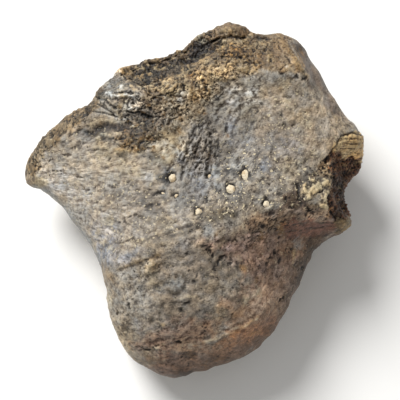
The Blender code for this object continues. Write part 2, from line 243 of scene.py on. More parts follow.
# Lines worked into the back: path in pixels, reach in pixels, and lift, which is outwards if positive.
WORKED_LINES = {
    "lip groove": (((212, 41), (226, 37), (240, 37), (256, 37), (270, 38)), 2.4, -0.8),
    "fissure": (((80, 131), (86, 133), (92, 134), (98, 129), (106, 127), (116, 127), (130, 127)), 6.0,
        -0.25),
    "fissure lip": (((92, 140), (100, 136), (108, 135), (114, 138)), 3.0, 0.25),
    "upper fissure": (((127, 112), (138, 113), (151, 118)), 3.5, -0.4),
    "stain groove": (((148, 118), (146, 127), (150, 136)), 3.5, -0.3),
    "notch crack": (((95, 96), (101, 99), (108, 103), (116, 109)), 1.6, -0.5),
    "slab crack": (((88, 110), (98, 112), (108, 114), (118, 117)), 1.6, -0.32),
    "slab step a": (((98, 104), (106, 109), (114, 115)), 1.6, -0.35),
    "slab step b": (((102, 102), (110, 108), (118, 113)), 1.6, 0.3),
    "calcite crack": (((115, 92), (120, 92), (126, 91), (132, 92)), 2.0, -0.7),
    "calcite ledge": (((112, 96), (120, 97), (134, 96)), 2.2, 0.45),
    "ripple a": (((210, 134), (211, 142), (211, 150), (209, 158), (207, 168), (206, 176)), 2.6, -0.5),
    "ripple b": (((200, 139), (197, 148), (195, 157)), 2.0, -0.42),
    "ripple c": (((195, 135), (190, 144), (186, 154)), 2.0, -0.42),
    "ripple d": (((190, 158), (184, 168), (180, 180)), 2.0, -0.36),
    "ripple e": (((199, 162), (194, 172), (188, 184)), 2.0, -0.34),
    "ripple f": (((181, 150), (175, 160), (169, 170)), 2.0, -0.32),
    "ripple g": (((204, 124), (196, 130), (190, 138)), 2.0, -0.34),
    "ripple h": (((222, 106), (214, 116), (208, 124)), 2.8, -0.35),
    "ripple i": (((219, 140), (218, 150), (217, 158)), 2.2, -0.3),
    "ripple j": (((228, 124), (226, 132), (222, 140)), 2.6, -0.2),
    "ripple k": (((240, 116), (234, 126), (230, 136)), 2.6, -0.2),
    "crest a": (((205, 134), (204, 146), (201, 158)), 2.6, 0.4),
    "crest b": (((195, 142), (191, 152), (189, 162)), 2.4, 0.35),
    "crest c": (((214, 164), (214, 176)), 3.4, 0.35),
    "crest d": (((188, 140), (182, 150), (177, 160)), 2.4, 0.3),
    "crest e": (((233, 100), (228, 112), (221, 124)), 2.8, 0.25),
    "crest f": (((194, 170), (189, 180)), 2.4, 0.3),
    "ridge crest": (((112, 260), (135, 251), (160, 243), (186, 236), (210, 229)), 7.0, 0.18),
    "ridge foot": (((120, 270), (140, 263), (158, 255)), 2.4, -0.22),
    "ridge step": (((152, 238), (176, 230), (202, 221)), 2.4, -0.28),
    "crust crack": (((297, 184), (299, 194), (301, 204)), 2.2, -0.6),
    "crust wedge": (((303, 203), (308, 209), (313, 214)), 1.8, -0.4),
    "break edge": (((331, 153), (337, 144), (340, 137), (352, 132), (361, 135)), 1.8, -0.25),
    "streak groove": (((204, 338.5), (222, 332), (240, 324), (256, 315)), 2.2, -0.08),
    "streak ledge": (((203, 343), (214, 339), (226, 335.5), (240, 329), (252, 322)), 2.4, 0.08),
    "condyle ledge a": (((168, 292), (176, 296), (184, 288), (186, 276)), 3.4, -0.25),
    "condyle ledge b": (((170, 300), (184, 297), (200, 296)), 4.5, 0.22),
    "condyle ledge c": (((150, 342), (172, 338), (180, 344)), 3.5, -0.16),
    "condyle ledge d": (((158, 314), (164, 304), (176, 302), (190, 304)), 4.0, -0.18),
}

# Patches worked in as a whole: feather in pixels, lift.
WORKED_PATCHES = {"rim band": (3.0, -0.9), "rim black": (5.0, -0.5), "spongy lump": (5.0, 0.35),
                  "broken black": (3.0, -0.6)}

# Single marks on the back: colour, strength, lift, and for each its place across and down, half its length
# and half its width in pixels, and its slant in degrees if it has one, rising to the right if positive.
MARKS = {
    "brown blots": ("#54412c", 0.7, -0.08, (
        (146, 103, 3.5, 4.5), (120, 101, 4.5, 3), (131, 101, 4, 3.6), (165, 100, 8, 3, 12),
        (172, 112, 10, 4, 10), (125, 327, 4, 8, -15), (154, 267, 9, 4, 15), (292, 203, 7, 8),
        (326, 164, 5, 6, 20), (257, 238, 11, 5, 10), (226, 241, 7, 3, 10), (306, 255, 4, 12, -35),
        (194, 83, 3.4, 5), (204, 85, 2.4, 7, 8), (147, 103.5, 3.6, 4), (147, 349, 10, 3), (190, 355, 8, 4),
        (118, 76, 5, 3, 40), (238, 52, 12, 5, -15), (128, 124, 5, 3), (196, 152, 4, 7, 20),
        (210, 158, 4, 8, 10), (284, 297, 6, 3, 40), (100, 90, 4, 2.4, 30), (240, 108, 3, 6, -15),
        (205, 90, 2, 7, 10), (288, 76, 9, 2.4, -15))),
    "tan blots": ("#ad9670", 0.65, 0.1, (
        (205, 62, 6, 4, 40), (246, 70, 12, 3, -5), (127, 70, 5, 3), (141, 77, 3, 1.1, 30),
        (209, 76, 6, 3, 30), (294, 257, 2, 8, -8), (346, 226, 6, 3), (163, 325, 3, 2), (152, 265, 5, 2, 20),
        (226, 30, 9, 3, 10), (325, 168, 2, 3), (331, 161, 2, 1.5), (156, 66, 3, 1.5), (130, 75, 2, 1.5),
        (218, 258, 2, 1), (179, 50, 4, 1.2, 20), (137, 66, 2, 1.2), (150, 74, 2, 0.9), (134, 88, 5, 2, -30),
        (185, 73, 7, 2.5, 30), (270, 60, 3, 6, 20), (262, 44, 6, 3), (300, 66, 2.5, 12, 35),
        (142, 66, 2, 1.4), (148.5, 74, 1.3, 1), (154, 65, 1.6, 2), (146, 62, 2, 1.2), (153, 70, 1.4, 1),
        (134, 75, 5, 0.9, -55), (139, 77, 5, 0.9, -50), (161.5, 65.5, 2, 2.4), (172, 56, 2, 1.2),
        (157, 58, 2.4, 1.2), (168, 58, 1.6, 1), (175, 57, 1.4, 1), (186, 56, 1.4, 1), (182, 68, 2, 1.4),
        (185, 76, 5, 1.2, -55), (189, 67, 2, 1.4), (142, 86, 5, 1.2, -50), (330, 173, 2, 1.2),
        (346, 166, 2.4, 1), (353, 171, 1.4, 1), (340, 188, 1, 1.6), (337, 200, 1, 2), (343, 210, 1.4, 1),
        (333, 158, 1.6, 1))),
    "rust specks": ("#98713d", 0.6, 0.0, (
        (193, 94, 2.4, 5, 20), (197, 100, 3, 3), (190, 76, 2, 3), (209, 92, 1.6, 4), (195, 97, 2, 3),
        (191, 90, 2, 2), (205, 114, 1.5, 1.5), (177, 145, 2.5, 2), (163, 157, 2.5, 2), (148, 105, 2, 2),
        (149, 139, 3, 2), (199, 91, 2, 2), (301, 52, 1.2, 5, 35), (243, 268, 3, 3), (256, 280, 2.4, 4, -20),
        (216, 234, 2, 2), (255, 333, 6, 2, 25), (138, 148, 4, 2), (205, 84, 1.5, 3), (227, 136, 1.5, 1.5),
        (181, 118, 3, 2), (179, 130, 3, 2.4), (281, 230, 4, 8), (262, 236, 4, 4))),
    "blue-grey dabs": ("#a5a5a1", 0.5, 0.05, (
        (110, 95, 4, 3.4), (104, 101, 6, 1, -27), (108, 111, 3, 4), (126, 119, 6, 1), (137, 94, 2, 2),
        (221, 97, 5, 3, 45), (283, 76, 5, 2), (304, 85, 8, 1.6, -35), (272, 190, 5, 5),
        (316, 199, 5.4, 4.4), (150, 176, 7, 5), (100, 206, 4, 3), (209, 232, 5, 6), (107, 84, 3, 7, 30),
        (128, 308, 6, 8), (216, 174, 4, 8, 5), (150, 330, 8, 3, 10), (174, 283, 8, 7, 30), (84, 132, 4, 3),
        (298, 243, 5, 6), (215, 185, 9, 4), (240, 184, 7, 3), (236, 165, 9, 3, 10))),
    "cream crumbs": ("#c3b79e", 0.6, 0.12, (
        (98, 137, 3, 1.2, 30), (104, 134, 4, 1.2), (110, 136, 2, 1.4, -40), (118, 134, 3, 1.4),
        (112, 121, 7, 2), (95, 122, 6, 2.4, 25), (126, 107, 3.4, 1.2, -25), (142, 124, 4, 1.2, 20),
        (134, 127, 4, 1), (199.5, 38.5, 4.6, 3), (286, 102, 5, 3.4, 20), (308, 124, 3, 5),
        (303, 145, 3, 2.4, 20), (298, 129, 3, 1), (314, 153, 4, 1.2), (286, 157, 3, 0.8, 20),
        (300, 146, 2.4, 1.6), (299, 162, 1.8, 1.4), (276, 174, 3, 1.2), (288, 180, 1.6, 1),
        (262, 197, 2, 1), (268, 193, 2, 1.2), (227, 196, 3, 1), (110, 298, 2.2, 8, 6), (186, 297, 12, 1, 5),
        (207, 342, 2, 1.3), (212, 340, 3, 1.6, 15), (220, 337, 3, 0.9, 25), (229, 333, 2.4, 0.8, 30),
        (236, 329, 2, 1), (247, 325, 3, 0.8, 25), (256, 319, 2, 1, 40), (157, 348, 3, 1), (109, 249, 3, 3),
        (166, 84, 3, 2), (172, 87, 2, 2), (140, 174, 4, 3), (135, 168, 3, 2, 30), (99, 232, 4, 5),
        (104, 241, 4, 3), (257, 293, 4, 6), (246, 300, 5, 4, 30), (286, 101, 3.4, 2.4, -30),
        (290, 107, 2.8, 1.8), (308, 126, 3, 3.4), (297, 130, 2.6, 1.5), (272, 142, 1.6, 1),
        (270, 206.5, 2.6, 1, -45))),
    "crust lumps": ("#cdb890", 0.85, 0.42, (
        (315, 189, 13, 4.6, 29), (325, 183, 5.4, 4), (304.5, 189, 3, 4.6), (308.5, 196.5, 3.4, 3.2, -20),
        (325, 196, 3, 7, -8), (324.5, 206, 5, 3), (313, 180.5, 2.4, 1.2), (334, 176, 1.2, 1))),
    "white crystals": ("#d3d2cc", 0.8, 0.13, (
        (110, 94.5, 3.4, 2.2, -20), (121, 87, 2.2, 3), (117, 96.5, 2.4, 1.2), (121, 95.5, 2, 1, 30),
        (126, 95, 2, 0.9), (131, 96.5, 3.2, 1, -10), (117, 91, 1.8, 1), (137, 107, 3.4, 1.8, 25),
        (132, 108.5, 2, 1.4), (135, 125, 1.4, 1))),
    "brown arcs": ("#463626", 0.7, -0.18, (
        (232, 46, 6, 0.9, 25), (241, 49, 6, 1, -20), (248, 54, 5, 1.1, -50), (237, 57, 6, 1, 10),
        (229, 61, 4, 1, 55), (222, 56, 4, 1.1, -10), (252, 62, 3.4, 1, -35), (226, 50, 3, 1.3, 70),
        (215, 58, 4, 1.2, -20), (209, 63, 4, 1, 30), (263, 52, 4, 1.2, 80), (270, 62, 3, 1.2, 65),
        (246, 44, 6, 0.9), (257, 46, 4, 1, 75), (218, 66, 4, 0.9, 10), (233, 66, 5, 0.9, -10),
        (245, 63, 4, 0.9, 20), (202, 70, 5, 0.9, 45), (196, 77, 4, 1, 60), (188, 82, 5, 1, 70),
        (199, 86, 4, 1.4, 80), (172, 92, 6, 0.9, 15), (159, 86, 4, 0.9, 60), (168, 78, 5, 0.9, 20),
        (150, 92, 5, 0.9, -35), (142, 92, 5, 0.8, -45), (280, 47, 5, 0.9, -60), (288, 58, 5, 0.9, -60),
        (352, 139, 9, 0.6), (350, 144, 9, 0.5, -4), (346, 149, 10, 0.6, 3), (354, 153, 8, 0.5),
        (343, 155, 6, 0.7, 5), (176, 118, 6, 0.9, 30), (168, 124, 5, 0.9, 25), (185, 102, 5, 1, 75),
        (160, 112, 6, 0.9, 20), (154, 122, 1, 5), (62, 142, 8, 0.9, 5), (74, 147, 7, 0.8),
        (54, 152, 6, 0.9, 20), (50, 160, 5, 0.8, 35), (66, 155, 5, 0.8), (84, 143, 6, 0.8, -5),
        (97, 150, 5, 0.8, 15), (56, 171, 8, 0.7), (42, 172, 6, 0.7), (78, 177, 7, 0.7),
        (118, 152, 4, 0.9, 50), (110, 158, 5, 0.8, 30), (128, 182, 5, 0.8, 15), (112, 187, 6, 0.7),
        (96, 203, 6, 0.7, -10), (88, 190, 7, 0.6, -5), (120, 222, 6, 0.8, 10), (134, 214, 5, 0.8, 20),
        (128, 240, 8, 0.7, 20), (150, 232, 7, 0.7, 15), (175, 222, 6, 0.7, 20), (190, 225, 5, 0.8),
        (300, 224, 10, 0.8, 8), (318, 228, 12, 0.8, 5), (294, 231, 8, 0.8, 10), (326, 223, 8, 0.8),
        (290, 212, 4, 1, 20), (276, 219, 4, 1, 30), (308, 216, 3, 1, -30), (264, 226, 3, 1.2),
        (254, 232, 3, 1.2))),
    "black pits": ("#211a15", 0.8, -0.3, (
        (104, 139, 3, 1), (112, 138, 2.4, 1, 10), (96, 141, 2, 1), (122, 139, 3, 1.2), (118, 93, 2.4, 0.8),
        (129, 92.3, 4, 1, -4), (98, 98, 2, 1.8), (136, 112.5, 8, 1, -6), (149, 116, 4, 1.6, -20),
        (131, 122.5, 3.4, 1.6), (150, 109, 2.4, 1.4, 30), (144, 122, 3, 1, -30), (118, 131, 3, 1, 20),
        (88, 133, 3, 1.6), (99, 129, 3, 1, 10), (146, 68, 3, 1.8), (148, 80, 2.2, 2), (157, 70, 3, 1.4),
        (161, 62, 3, 1.4), (179, 59, 5, 2, -20), (173, 65, 4, 1.4), (191, 61, 4, 2.2, 40),
        (184, 50, 3, 1.5), (157, 64, 1, 2), (154, 73, 1.2, 1.4), (145, 72, 1.2, 1), (151, 81, 2.4, 1),
        (158, 76, 1.2, 2), (130, 77, 2.4, 3), (171, 65, 1.6, 1.2, 30), (178, 64, 1.8, 1.4),
        (168, 68, 1.2, 0.9), (190, 56, 1.6, 2), (187, 62, 2, 1, 30), (176, 57, 1, 1.2), (163, 74, 1.4, 1.2),
        (199, 48, 4, 5), (209, 43, 3, 2), (190, 72, 2.2, 1.2, 40), (178, 86, 1.2, 4),
        (142, 79, 4, 0.7, -50), (143, 88, 4, 0.8, -45), (194, 82, 2.2, 2.4), (207, 88, 0.9, 3.4),
        (155, 98, 2.4, 1.4), (203, 80, 1.6, 1.4), (133, 72, 2.2, 1.4), (138, 64, 2, 1.2),
        (123, 76, 4, 1, -45), (201, 46, 7, 3, 35), (211, 41, 6, 2.2, 25), (196, 54, 5, 3, 50),
        (209, 32, 4, 1.4), (184, 88, 1, 3.4, 10), (206, 88, 1, 4, 5), (196, 84, 1.2, 2.4),
        (163, 95, 4, 0.7, 5), (177, 88, 3.4, 1, 40), (222, 56, 3, 1, 45), (215, 58, 2.4, 1.2),
        (240, 56, 3, 0.9, -30), (254, 63, 3, 1, -40), (265, 50, 2.4, 1.2, 60), (271, 61, 3, 0.9, -50),
        (280, 73, 3, 1.2, -10), (297, 76, 3.4, 1.4, -35), (306, 79, 3, 1, -20), (258, 112, 2.6, 1, 50),
        (281, 115, 1, 2.4, -20), (284, 125, 0.8, 2.4, 40), (294, 125, 0.6, 3, -35),
        (226, 129, 1.4, 2.6, 10), (157, 193, 5, 0.9, 28), (151, 205, 3.4, 1.1, 15), (146, 207, 2.4, 1, 20),
        (158, 204, 2.4, 1, -10), (206, 199, 0.9, 3.4), (298, 187, 1.8, 2.2), (299, 196, 1, 4, -20),
        (309, 211, 3.4, 1.2, -45), (331, 214, 3, 1.6, -30), (303, 197, 1.4, 2), (320, 191.5, 4, 0.8, 30),
        (330, 196, 1.2, 3), (327, 158, 3, 1.8, 30), (324, 168, 1.6, 2), (330, 172, 2, 2.4),
        (290, 207, 3, 1.2), (286, 200, 1.2, 3), (272, 214, 4, 1.2, 20), (187, 254, 2, 1.5),
        (207, 248, 3, 1.2, -50), (212, 255, 3, 1.5, -50), (221, 259, 2.4, 2), (232, 263, 3, 0.5),
        (188, 270, 1.6, 1.2), (183, 277, 1, 3, -30), (196, 276, 1.8, 1), (195, 281, 2.4, 1.4, -20),
        (200, 297, 2, 1, -40), (187, 304, 3.4, 1.2, 15), (181, 310, 1.2, 1.8), (232, 314, 1, 1.3),
        (178, 343, 3.4, 1.8, 10), (156, 346, 3.4, 0.9), (118, 313, 1.4, 1.4), (129, 305, 1, 3),
        (147, 350, 3, 0.9), (268, 263, 3.4, 1.3, 25), (280, 260, 1, 4, -10), (286, 249, 1.8, 1),
        (292, 249, 1.4, 1), (279, 238, 1.2, 2.4), (302, 268, 3, 1.8, 45), (282, 298, 3, 1.2, 40),
        (333, 165, 3, 3), (334, 180, 2, 5), (209, 251, 4.5, 1.5, -52), (204, 246, 2.6, 1.3),
        (213, 256, 1.5, 2), (219, 263, 1.4, 3), (225, 256, 3, 1), (214, 265, 1.4, 1.4),
        (271, 258, 3.4, 1, 40), (275, 252, 1.3, 2.4), (210, 247, 2.4, 1, 20))),
}
MARK_SHADE = 0.3  # the dark colour of a mark, as a share of its light one
MARK_END = 1.35  # where a mark ends, as a share of its half length and half width
MARK_FADE = 0.9  # how far in from there it is whole
RAGGED = {"crust lumps": 0.7}  # marks with smoother edges than the rest

# Clusters of fine dark grit, written as the marks are.
GRIT = (
    (264, 263, 9, 4, 30), (276, 254, 8, 4, 45), (288, 250, 8, 3), (250, 240, 10, 5), (246, 248, 3, 8),
    (260, 227, 14, 4, -8), (285, 224, 8, 4), (277, 276, 4, 7), (281, 298, 7, 3, 40), (206, 250, 7, 4, -50),
    (222, 260, 9, 5), (214, 268, 5, 5, -40), (233, 263, 7, 2.5), (226, 243, 12, 5, 10),
    (200, 231, 12, 3, 12), (224, 226, 8, 4), (246, 216, 12, 4), (230, 210, 9, 4), (150, 348, 16, 5),
    (178, 344, 9, 4, 10), (172, 360, 16, 5), (207, 327, 8, 4, 20), (130, 305, 4, 9), (121, 314, 6, 4),
    (138, 291, 8, 3), (155, 262, 10, 3, 22), (158, 118, 9, 6), (166, 130, 8, 4, -30), (172, 108, 14, 6, 25),
    (152, 102, 9, 5), (186, 108, 6, 9), (202, 98, 5, 9, 20), (292, 203, 9, 8), (312, 211, 12, 3, -12),
    (320, 172, 11, 10), (33, 162, 4, 9, -20), (60, 121, 10, 5, 35), (84, 111, 12, 5, 25),
    (48, 135, 9, 4, 45), (76, 121, 9, 4, 30), (106, 104, 8, 4, -30), (196, 150, 9, 14, 30),
    (232, 53, 18, 7, -10), (268, 45, 12, 6), (150, 84, 9, 6))

# Soft washes that lighten or darken both colours, written as the marks are. They are partly the mineral's own
# mottling and partly painted shade and painted light: darker where the bone lies in shade, as at its lower
# edges, at the foot of the break and in a painted shadow by the notch, and the warmer washes low on the right
# are partly a painted warm reflection. They are grouped by how much lighter they make both colours and how
# much warmer, and less than nothing is darker and cooler.
TONE_AND_SHADE_WASHES = {
    (-0.75, 0): [(125, 157, 12, 6), (236, 174, 14, 7), (103, 135, 8, 4)],
    (-0.6, 0): [(101, 92, 5, 4), (157, 99, 6, 6), (144, 123, 12, 9), (186, 230, 18, 6, 15),
        (284, 259, 14, 8, 20)],
    (-0.55, 0): [(308, 182, 9, 5), (212, 266, 16, 6, 10)],
    (-0.5, 0): [(88, 107, 7, 5, 35), (223, 152, 14, 13, 40), (203, 226, 8, 5), (236, 197, 20, 10),
        (240, 267, 18, 6), (230, 276, 9, 4), (237, 298, 9, 5), (340, 202, 7, 20), (183, 374, 12, 6),
        (141, 76, 8, 4.5, -10)],
    (-0.45, 0): [(152, 71, 12, 6), (215, 126, 9, 8), (285, 190, 9, 6), (168, 285, 16, 9), (194, 282, 8, 9),
        (150, 71, 12, 5, 15), (133, 83, 8, 5)],
    (-0.42, 0): [(150, 202, 14, 12)],
    (-0.4, 0): [(262, 38, 8, 4), (114, 126, 8, 5), (92, 124, 5, 5), (150, 156, 8, 5), (276, 207, 7, 6),
        (268, 197, 10, 7), (302, 269, 6, 9, -30), (143, 287, 14, 6), (268, 263, 10, 5, 30),
        (141, 137, 7, 9), (338, 190, 6, 14), (356, 164, 6, 4)],
    (-0.35, 0): [(216, 54, 7, 6), (116, 184, 8, 9), (112, 243, 9, 6), (190, 200, 26, 9),
        (150, 240, 18, 7, 10), (186, 184, 14, 5), (263, 148, 6, 15), (277, 130, 12, 17), (153, 276, 9, 5),
        (155, 319, 9, 5), (165, 309, 9, 9), (112, 84, 10, 6, 60), (104, 155, 9, 5), (172, 131, 8, 5),
        (199, 120, 6, 5), (309, 171, 7, 7), (357, 141, 5, 5), (297, 273, 12, 7, 55), (178, 76, 10, 5, 15),
        (158, 97, 5, 5), (213, 146, 6, 7), (177, 238, 8, 5)],
    (-0.32, 0): [(70, 144, 15, 6)],
    (-0.3, 0): [(69, 128, 4, 8), (144, 118, 9, 8), (156, 222, 16, 10), (288, 112, 7, 6), (204, 246, 6, 4),
        (306, 155, 8, 6), (215, 362, 20, 6, 10), (118, 300, 6, 8), (342, 175, 9, 10), (120, 105, 8, 4),
        (92, 141, 14, 4), (110, 140, 8, 3), (164, 178, 7, 5), (301, 48, 5, 10, -50), (262, 40, 8, 4),
        (261, 94, 7, 5), (298, 190, 8, 7), (148, 74, 12, 5, 15), (113, 108, 6, 5), (217, 59, 8, 5),
        (262, 168, 6, 6), (308, 252, 5, 12, -35), (148, 73, 7, 5), (101, 93, 5, 5), (110, 131, 6, 4),
        (40, 140, 7, 5, 45), (340, 180, 5, 6), (183, 373, 8, 4), (157, 99, 5, 4), (148, 73, 7, 4),
        (103, 134, 14, 3.5, 8), (340, 182, 5, 7)],
    (-0.27, 0): [(197, 285, 6, 6), (101, 96, 5, 4), (42, 145, 5, 6, 40)],
    (-0.25, 0): [(120, 84, 8, 5, -30), (112, 195, 8, 6), (256, 112, 8, 6), (243, 170, 6, 5),
        (92, 118, 6, 6), (316, 168, 6, 8), (318, 186, 12, 8), (135, 83, 5, 4), (92, 137, 5, 4),
        (105, 140, 5, 4), (157, 155, 7, 5), (262, 40, 6, 4), (301, 48, 4, 6), (133, 323, 7, 6),
        (248, 350, 6, 5), (258, 310, 6, 6), (183, 72, 5, 4), (82, 136, 8, 4, 15), (165, 180, 5, 6),
        (297, 48, 4, 5), (263, 73, 6, 4), (313, 178, 6, 4), (313, 204, 7, 5), (163, 240, 8, 4, 15),
        (185, 372, 8, 4), (183, 94, 4, 4), (168, 188, 5, 7)],
    (-0.22, 0): [(166, 180, 6, 5), (262, 65, 6, 5), (150, 323, 7, 6), (183, 308, 7, 5),
        (140, 204, 12, 4, 10), (60, 155, 7, 6), (132, 252, 8, 5), (213, 228, 6, 4), (183, 311, 6, 4)],
    (-0.2, 0): [(285, 232, 14, 6), (198, 126, 6, 6), (238, 300, 8, 5), (205, 308, 8, 6),
        (295, 285, 6, 12, -30), (300, 50, 5, 9, -50), (150, 165, 7, 5), (340, 215, 5, 6), (180, 275, 6, 5),
        (244, 184, 5, 4), (262, 205, 6, 4), (342, 198, 4, 6), (310, 156, 7, 5), (103, 138, 10, 3, 8),
        (162, 196, 5, 4), (242, 175, 6, 5)],
    (-0.15, 0): [(105, 251, 5, 6)],
    (0.2, 0): [(136, 105, 7, 6), (328, 150, 6, 5), (28, 175, 4, 8), (135, 97, 5, 4), (200, 168, 5, 4),
        (346, 155, 5, 5), (225, 250, 9, 6), (185, 240, 8, 5), (68, 178, 6, 5), (172, 145, 5, 5)],
    (0.22, 0): [(200, 82, 5, 5), (230, 245, 7, 5), (183, 335, 8, 5), (165, 109, 6, 4), (205, 85, 9, 5),
        (215, 157, 5, 5), (328, 160, 5, 8), (263, 192, 6, 5), (118, 337, 6, 7), (295, 78, 6, 9),
        (230, 264, 6, 5)],
    (0.25, 0): [(175, 245, 20, 5, 20), (160, 265, 14, 5, 20), (68, 130, 8, 5, 20), (150, 83, 5, 4),
        (245, 238, 7, 5), (135, 108, 5, 4), (232, 49, 6, 4), (87, 157, 7, 5), (198, 145, 5, 6),
        (215, 132, 6, 6), (231, 168, 6, 5), (152, 217, 14, 4, 10), (182, 229, 9, 5, 15), (263, 241, 8, 6),
        (353, 156, 8, 5)],
    (0.27, 0): [(150, 85, 6, 4), (120, 120, 6, 4), (183, 299, 6, 5)],
    (0.28, 0): [(200, 95, 5, 6), (328, 215, 6, 5), (215, 237, 8, 5), (262, 238, 7, 5)],
    (0.3, 0): [(96, 163, 14, 5), (245, 97, 14, 5), (262, 238, 6, 6), (330, 128, 8, 8), (124, 344, 8, 7),
        (40, 155, 6, 9), (148, 172, 9, 6), (158, 91, 8, 4), (121, 117, 8, 4), (250, 84, 6, 4),
        (150, 288, 14, 5), (293, 258, 6, 5), (68, 122, 10, 6, -35), (42, 150, 5, 12, 20), (165, 86, 9, 5),
        (318, 84, 5, 9, -50), (165, 108, 6, 4), (328, 165, 5, 6)],
    (0.35, 0): [(206, 84, 6, 9), (66, 173, 24, 7), (88, 170, 14, 5), (203, 80, 8, 6), (200, 165, 7, 8),
        (198, 145, 7, 8), (135, 107, 6, 4), (168, 97, 5, 5)],
    (0.4, 0): [(80, 126, 8, 4, 20), (124, 213, 18, 6), (270, 216, 10, 4, 20), (300, 254, 4, 7, -20),
        (240, 288, 20, 6), (71, 128, 8, 5, 20), (150, 84, 7, 4, -15), (184, 92, 8, 5), (328, 140, 7, 5),
        (328, 152, 6, 5)],
    (0.45, 0): [(148, 176, 10, 7), (310, 216, 10, 3), (121, 268, 7, 10)],
    (0.5, 0): [(200, 92, 16, 8), (182, 97, 9, 6), (116, 117, 6, 4), (184, 146, 9, 9), (311, 74, 6, 12, -35),
        (328, 164, 6, 6)],
    (0.6, 0): [(342, 118, 5, 10, -35), (243, 329, 26, 9, 25)], (0.65, 0): [(42, 164, 8, 8)],
    (0.75, 0): [(262, 299, 16, 13, 30), (331, 100, 6, 20, -35)], (0.85, 0): [(130, 106, 14, 7, -10)],
    (0.9, 0): [(118, 74, 6, 5, 40)], (0, -0.3): [(182, 96, 6, 8), (148, 143, 8, 4)],
    (0, -0.25): [(178, 155, 5, 10, 20), (268, 165, 6, 12, 15), (130, 256, 12, 5, 20)],
    (0, -0.18): [(108, 252, 12, 12)], (0, -0.17): [(200, 178, 14, 20, 20)], (0, -0.15): [(40, 155, 8, 10),
    (185, 250, 10, 14, 15), (245, 95, 16, 8)], (0, -0.14): [(290, 147, 12, 10)],
    (0, -0.12): [(226, 44, 16, 6)], (0, -0.11): [(238, 130, 12, 26, 15)], (0, -0.1): [(160, 150, 14, 14)],
    (0, -0.08): [(80, 195, 10, 10), (56, 180, 14, 10, -30), (180, 156, 6, 8), (158, 142, 8, 5)],
    (0, -0.07): [(122, 262, 10, 6, -20), (232, 120, 6, 24, 5)], (0, -0.06): [(275, 150, 18, 26),
    (96, 225, 10, 16, -20)],
    (0, -0.05): [(195, 258, 12, 18), (240, 90, 20, 6), (228, 120, 5, 24), (290, 142, 12, 6)],
    (0, 0.06): [(200, 340, 18, 8), (356, 150, 8, 12)], (0, 0.07): [(158, 224, 20, 10, 10)],
    (0, 0.08): [(125, 152, 14, 7), (228, 318, 16, 12), (265, 331, 8, 6, -30)],
    (0, 0.1): [(214, 286, 16, 6), (262, 322, 26, 26), (225, 352, 30, 14, 10), (246, 54, 10, 6)],
    (0, 0.12): [(210, 364, 12, 5), (290, 222, 16, 9), (228, 112, 5, 12, 10), (305, 118, 10, 12),
        (128, 336, 12, 14)],
    (0, 0.13): [(155, 240, 32, 9, 12)], (0, 0.14): [(125, 160, 12, 18), (292, 170, 12, 10)],
    (0, 0.15): [(162, 222, 14, 8), (104, 150, 12, 12), (262, 62, 10, 12), (100, 133, 14, 10)],
    (0, 0.17): [(140, 128, 14, 9), (152, 275, 10, 8)], (0, 0.18): [(285, 83, 9, 9)],
    (0, 0.2): [(125, 150, 12, 5), (120, 100, 6, 18)], (0, 0.22): [(108, 221, 8, 5)],
    (0, 0.25): [(343, 226, 8, 6), (40, 182, 8, 6)], (-0.65, 0.1): [(216, 215, 20, 7)],
    (-0.6, -0.08): [(164, 178, 7, 10)], (-0.6, -0.06): [(144, 75, 18, 9, 10), (174, 70, 18, 7, 15)],
    (-0.6, 0.05): [(318, 240, 16, 6, 30)], (-0.55, 0.1): [(99, 95, 5, 5)],
    (-0.45, 0.04): [(252, 118, 11, 8)], (-0.4, 0.04): [(266, 50, 10, 18)], (-0.4, 0.1): [(148, 362, 16, 5)],
    (-0.35, -0.03): [(104, 260, 10, 5, -60)], (-0.35, 0.08): [(90, 112, 10, 6, 30)],
    (-0.3, -0.03): [(222, 113, 6, 5)], (-0.3, 0.1): [(288, 70, 7, 4)], (-0.3, 0.15): [(138, 150, 8, 6)],
    (-0.25, -0.03): [(277, 172, 6, 8), (88, 212, 8, 6)], (-0.25, 0.05): [(262, 338, 16, 5, 40)],
    (-0.25, 0.08): [(240, 132, 12, 8)], (-0.15, -0.15): [(290, 76, 12, 4)],
    (-0.15, 0.06): [(250, 108, 12, 8)], (-0.15, 0.08): [(210, 362, 14, 5, 10)],
    (-0.1, 0.12): [(300, 245, 24, 10, 20)], (-0.05, -0.1): [(237, 249, 14, 9)],
    (-0.05, 0.12): [(268, 220, 18, 10)], (0.1, 0.05): [(248, 340, 9, 6)], (0.15, 0.1): [(216, 318, 11, 16)],
    (0.25, 0.05): [(357, 152, 6, 4)], (0.3, -0.1): [(182, 93, 6, 6), (150, 178, 7, 4)],
    (0.3, -0.03): [(235, 87, 8, 4)], (0.3, 0.05): [(240, 310, 10, 7), (248, 335, 12, 5, 20)],
    (0.3, 0.06): [(192, 354, 12, 5)], (0.3, 0.08): [(315, 218, 16, 5)], (0.3, 0.1): [(295, 118, 10, 6)],
    (0.3, 0.15): [(185, 346, 12, 6), (235, 50, 10, 5)], (0.35, -0.12): [(142, 330, 16, 9)],
    (0.35, -0.03): [(104, 235, 8, 6)], (0.35, 0.03): [(202, 95, 7, 6), (184, 224, 10, 5, 10)],
    (0.35, 0.04): [(151, 148, 8, 6)], (0.35, 0.06): [(280, 45, 5, 6)], (0.35, 0.1): [(225, 346, 18, 6, 15)],
    (0.4, 0.03): [(222, 70, 12, 5)], (0.4, 0.05): [(317, 216, 14, 4)], (0.4, 0.1): [(125, 352, 10, 7),
    (356, 158, 5, 4)], (0.45, -0.2): [(102, 232, 11, 14)], (0.45, 0.05): [(321, 165, 9, 9),
    (216, 302, 12, 8)], (0.45, 0.08): [(120, 70, 5, 4)], (0.5, 0.05): [(249, 240, 8, 7), (351, 167, 8, 4)],
    (0.55, -0.1): [(240, 242, 34, 7, 5)], (0.55, 0.06): [(196, 252, 32, 6, 15)],
    (0.6, 0.05): [(292, 68, 10, 9)], (0.6, 0.1): [(154, 266, 12, 5, 15)], (0.6, 0.25): [(326, 210, 8, 7)],
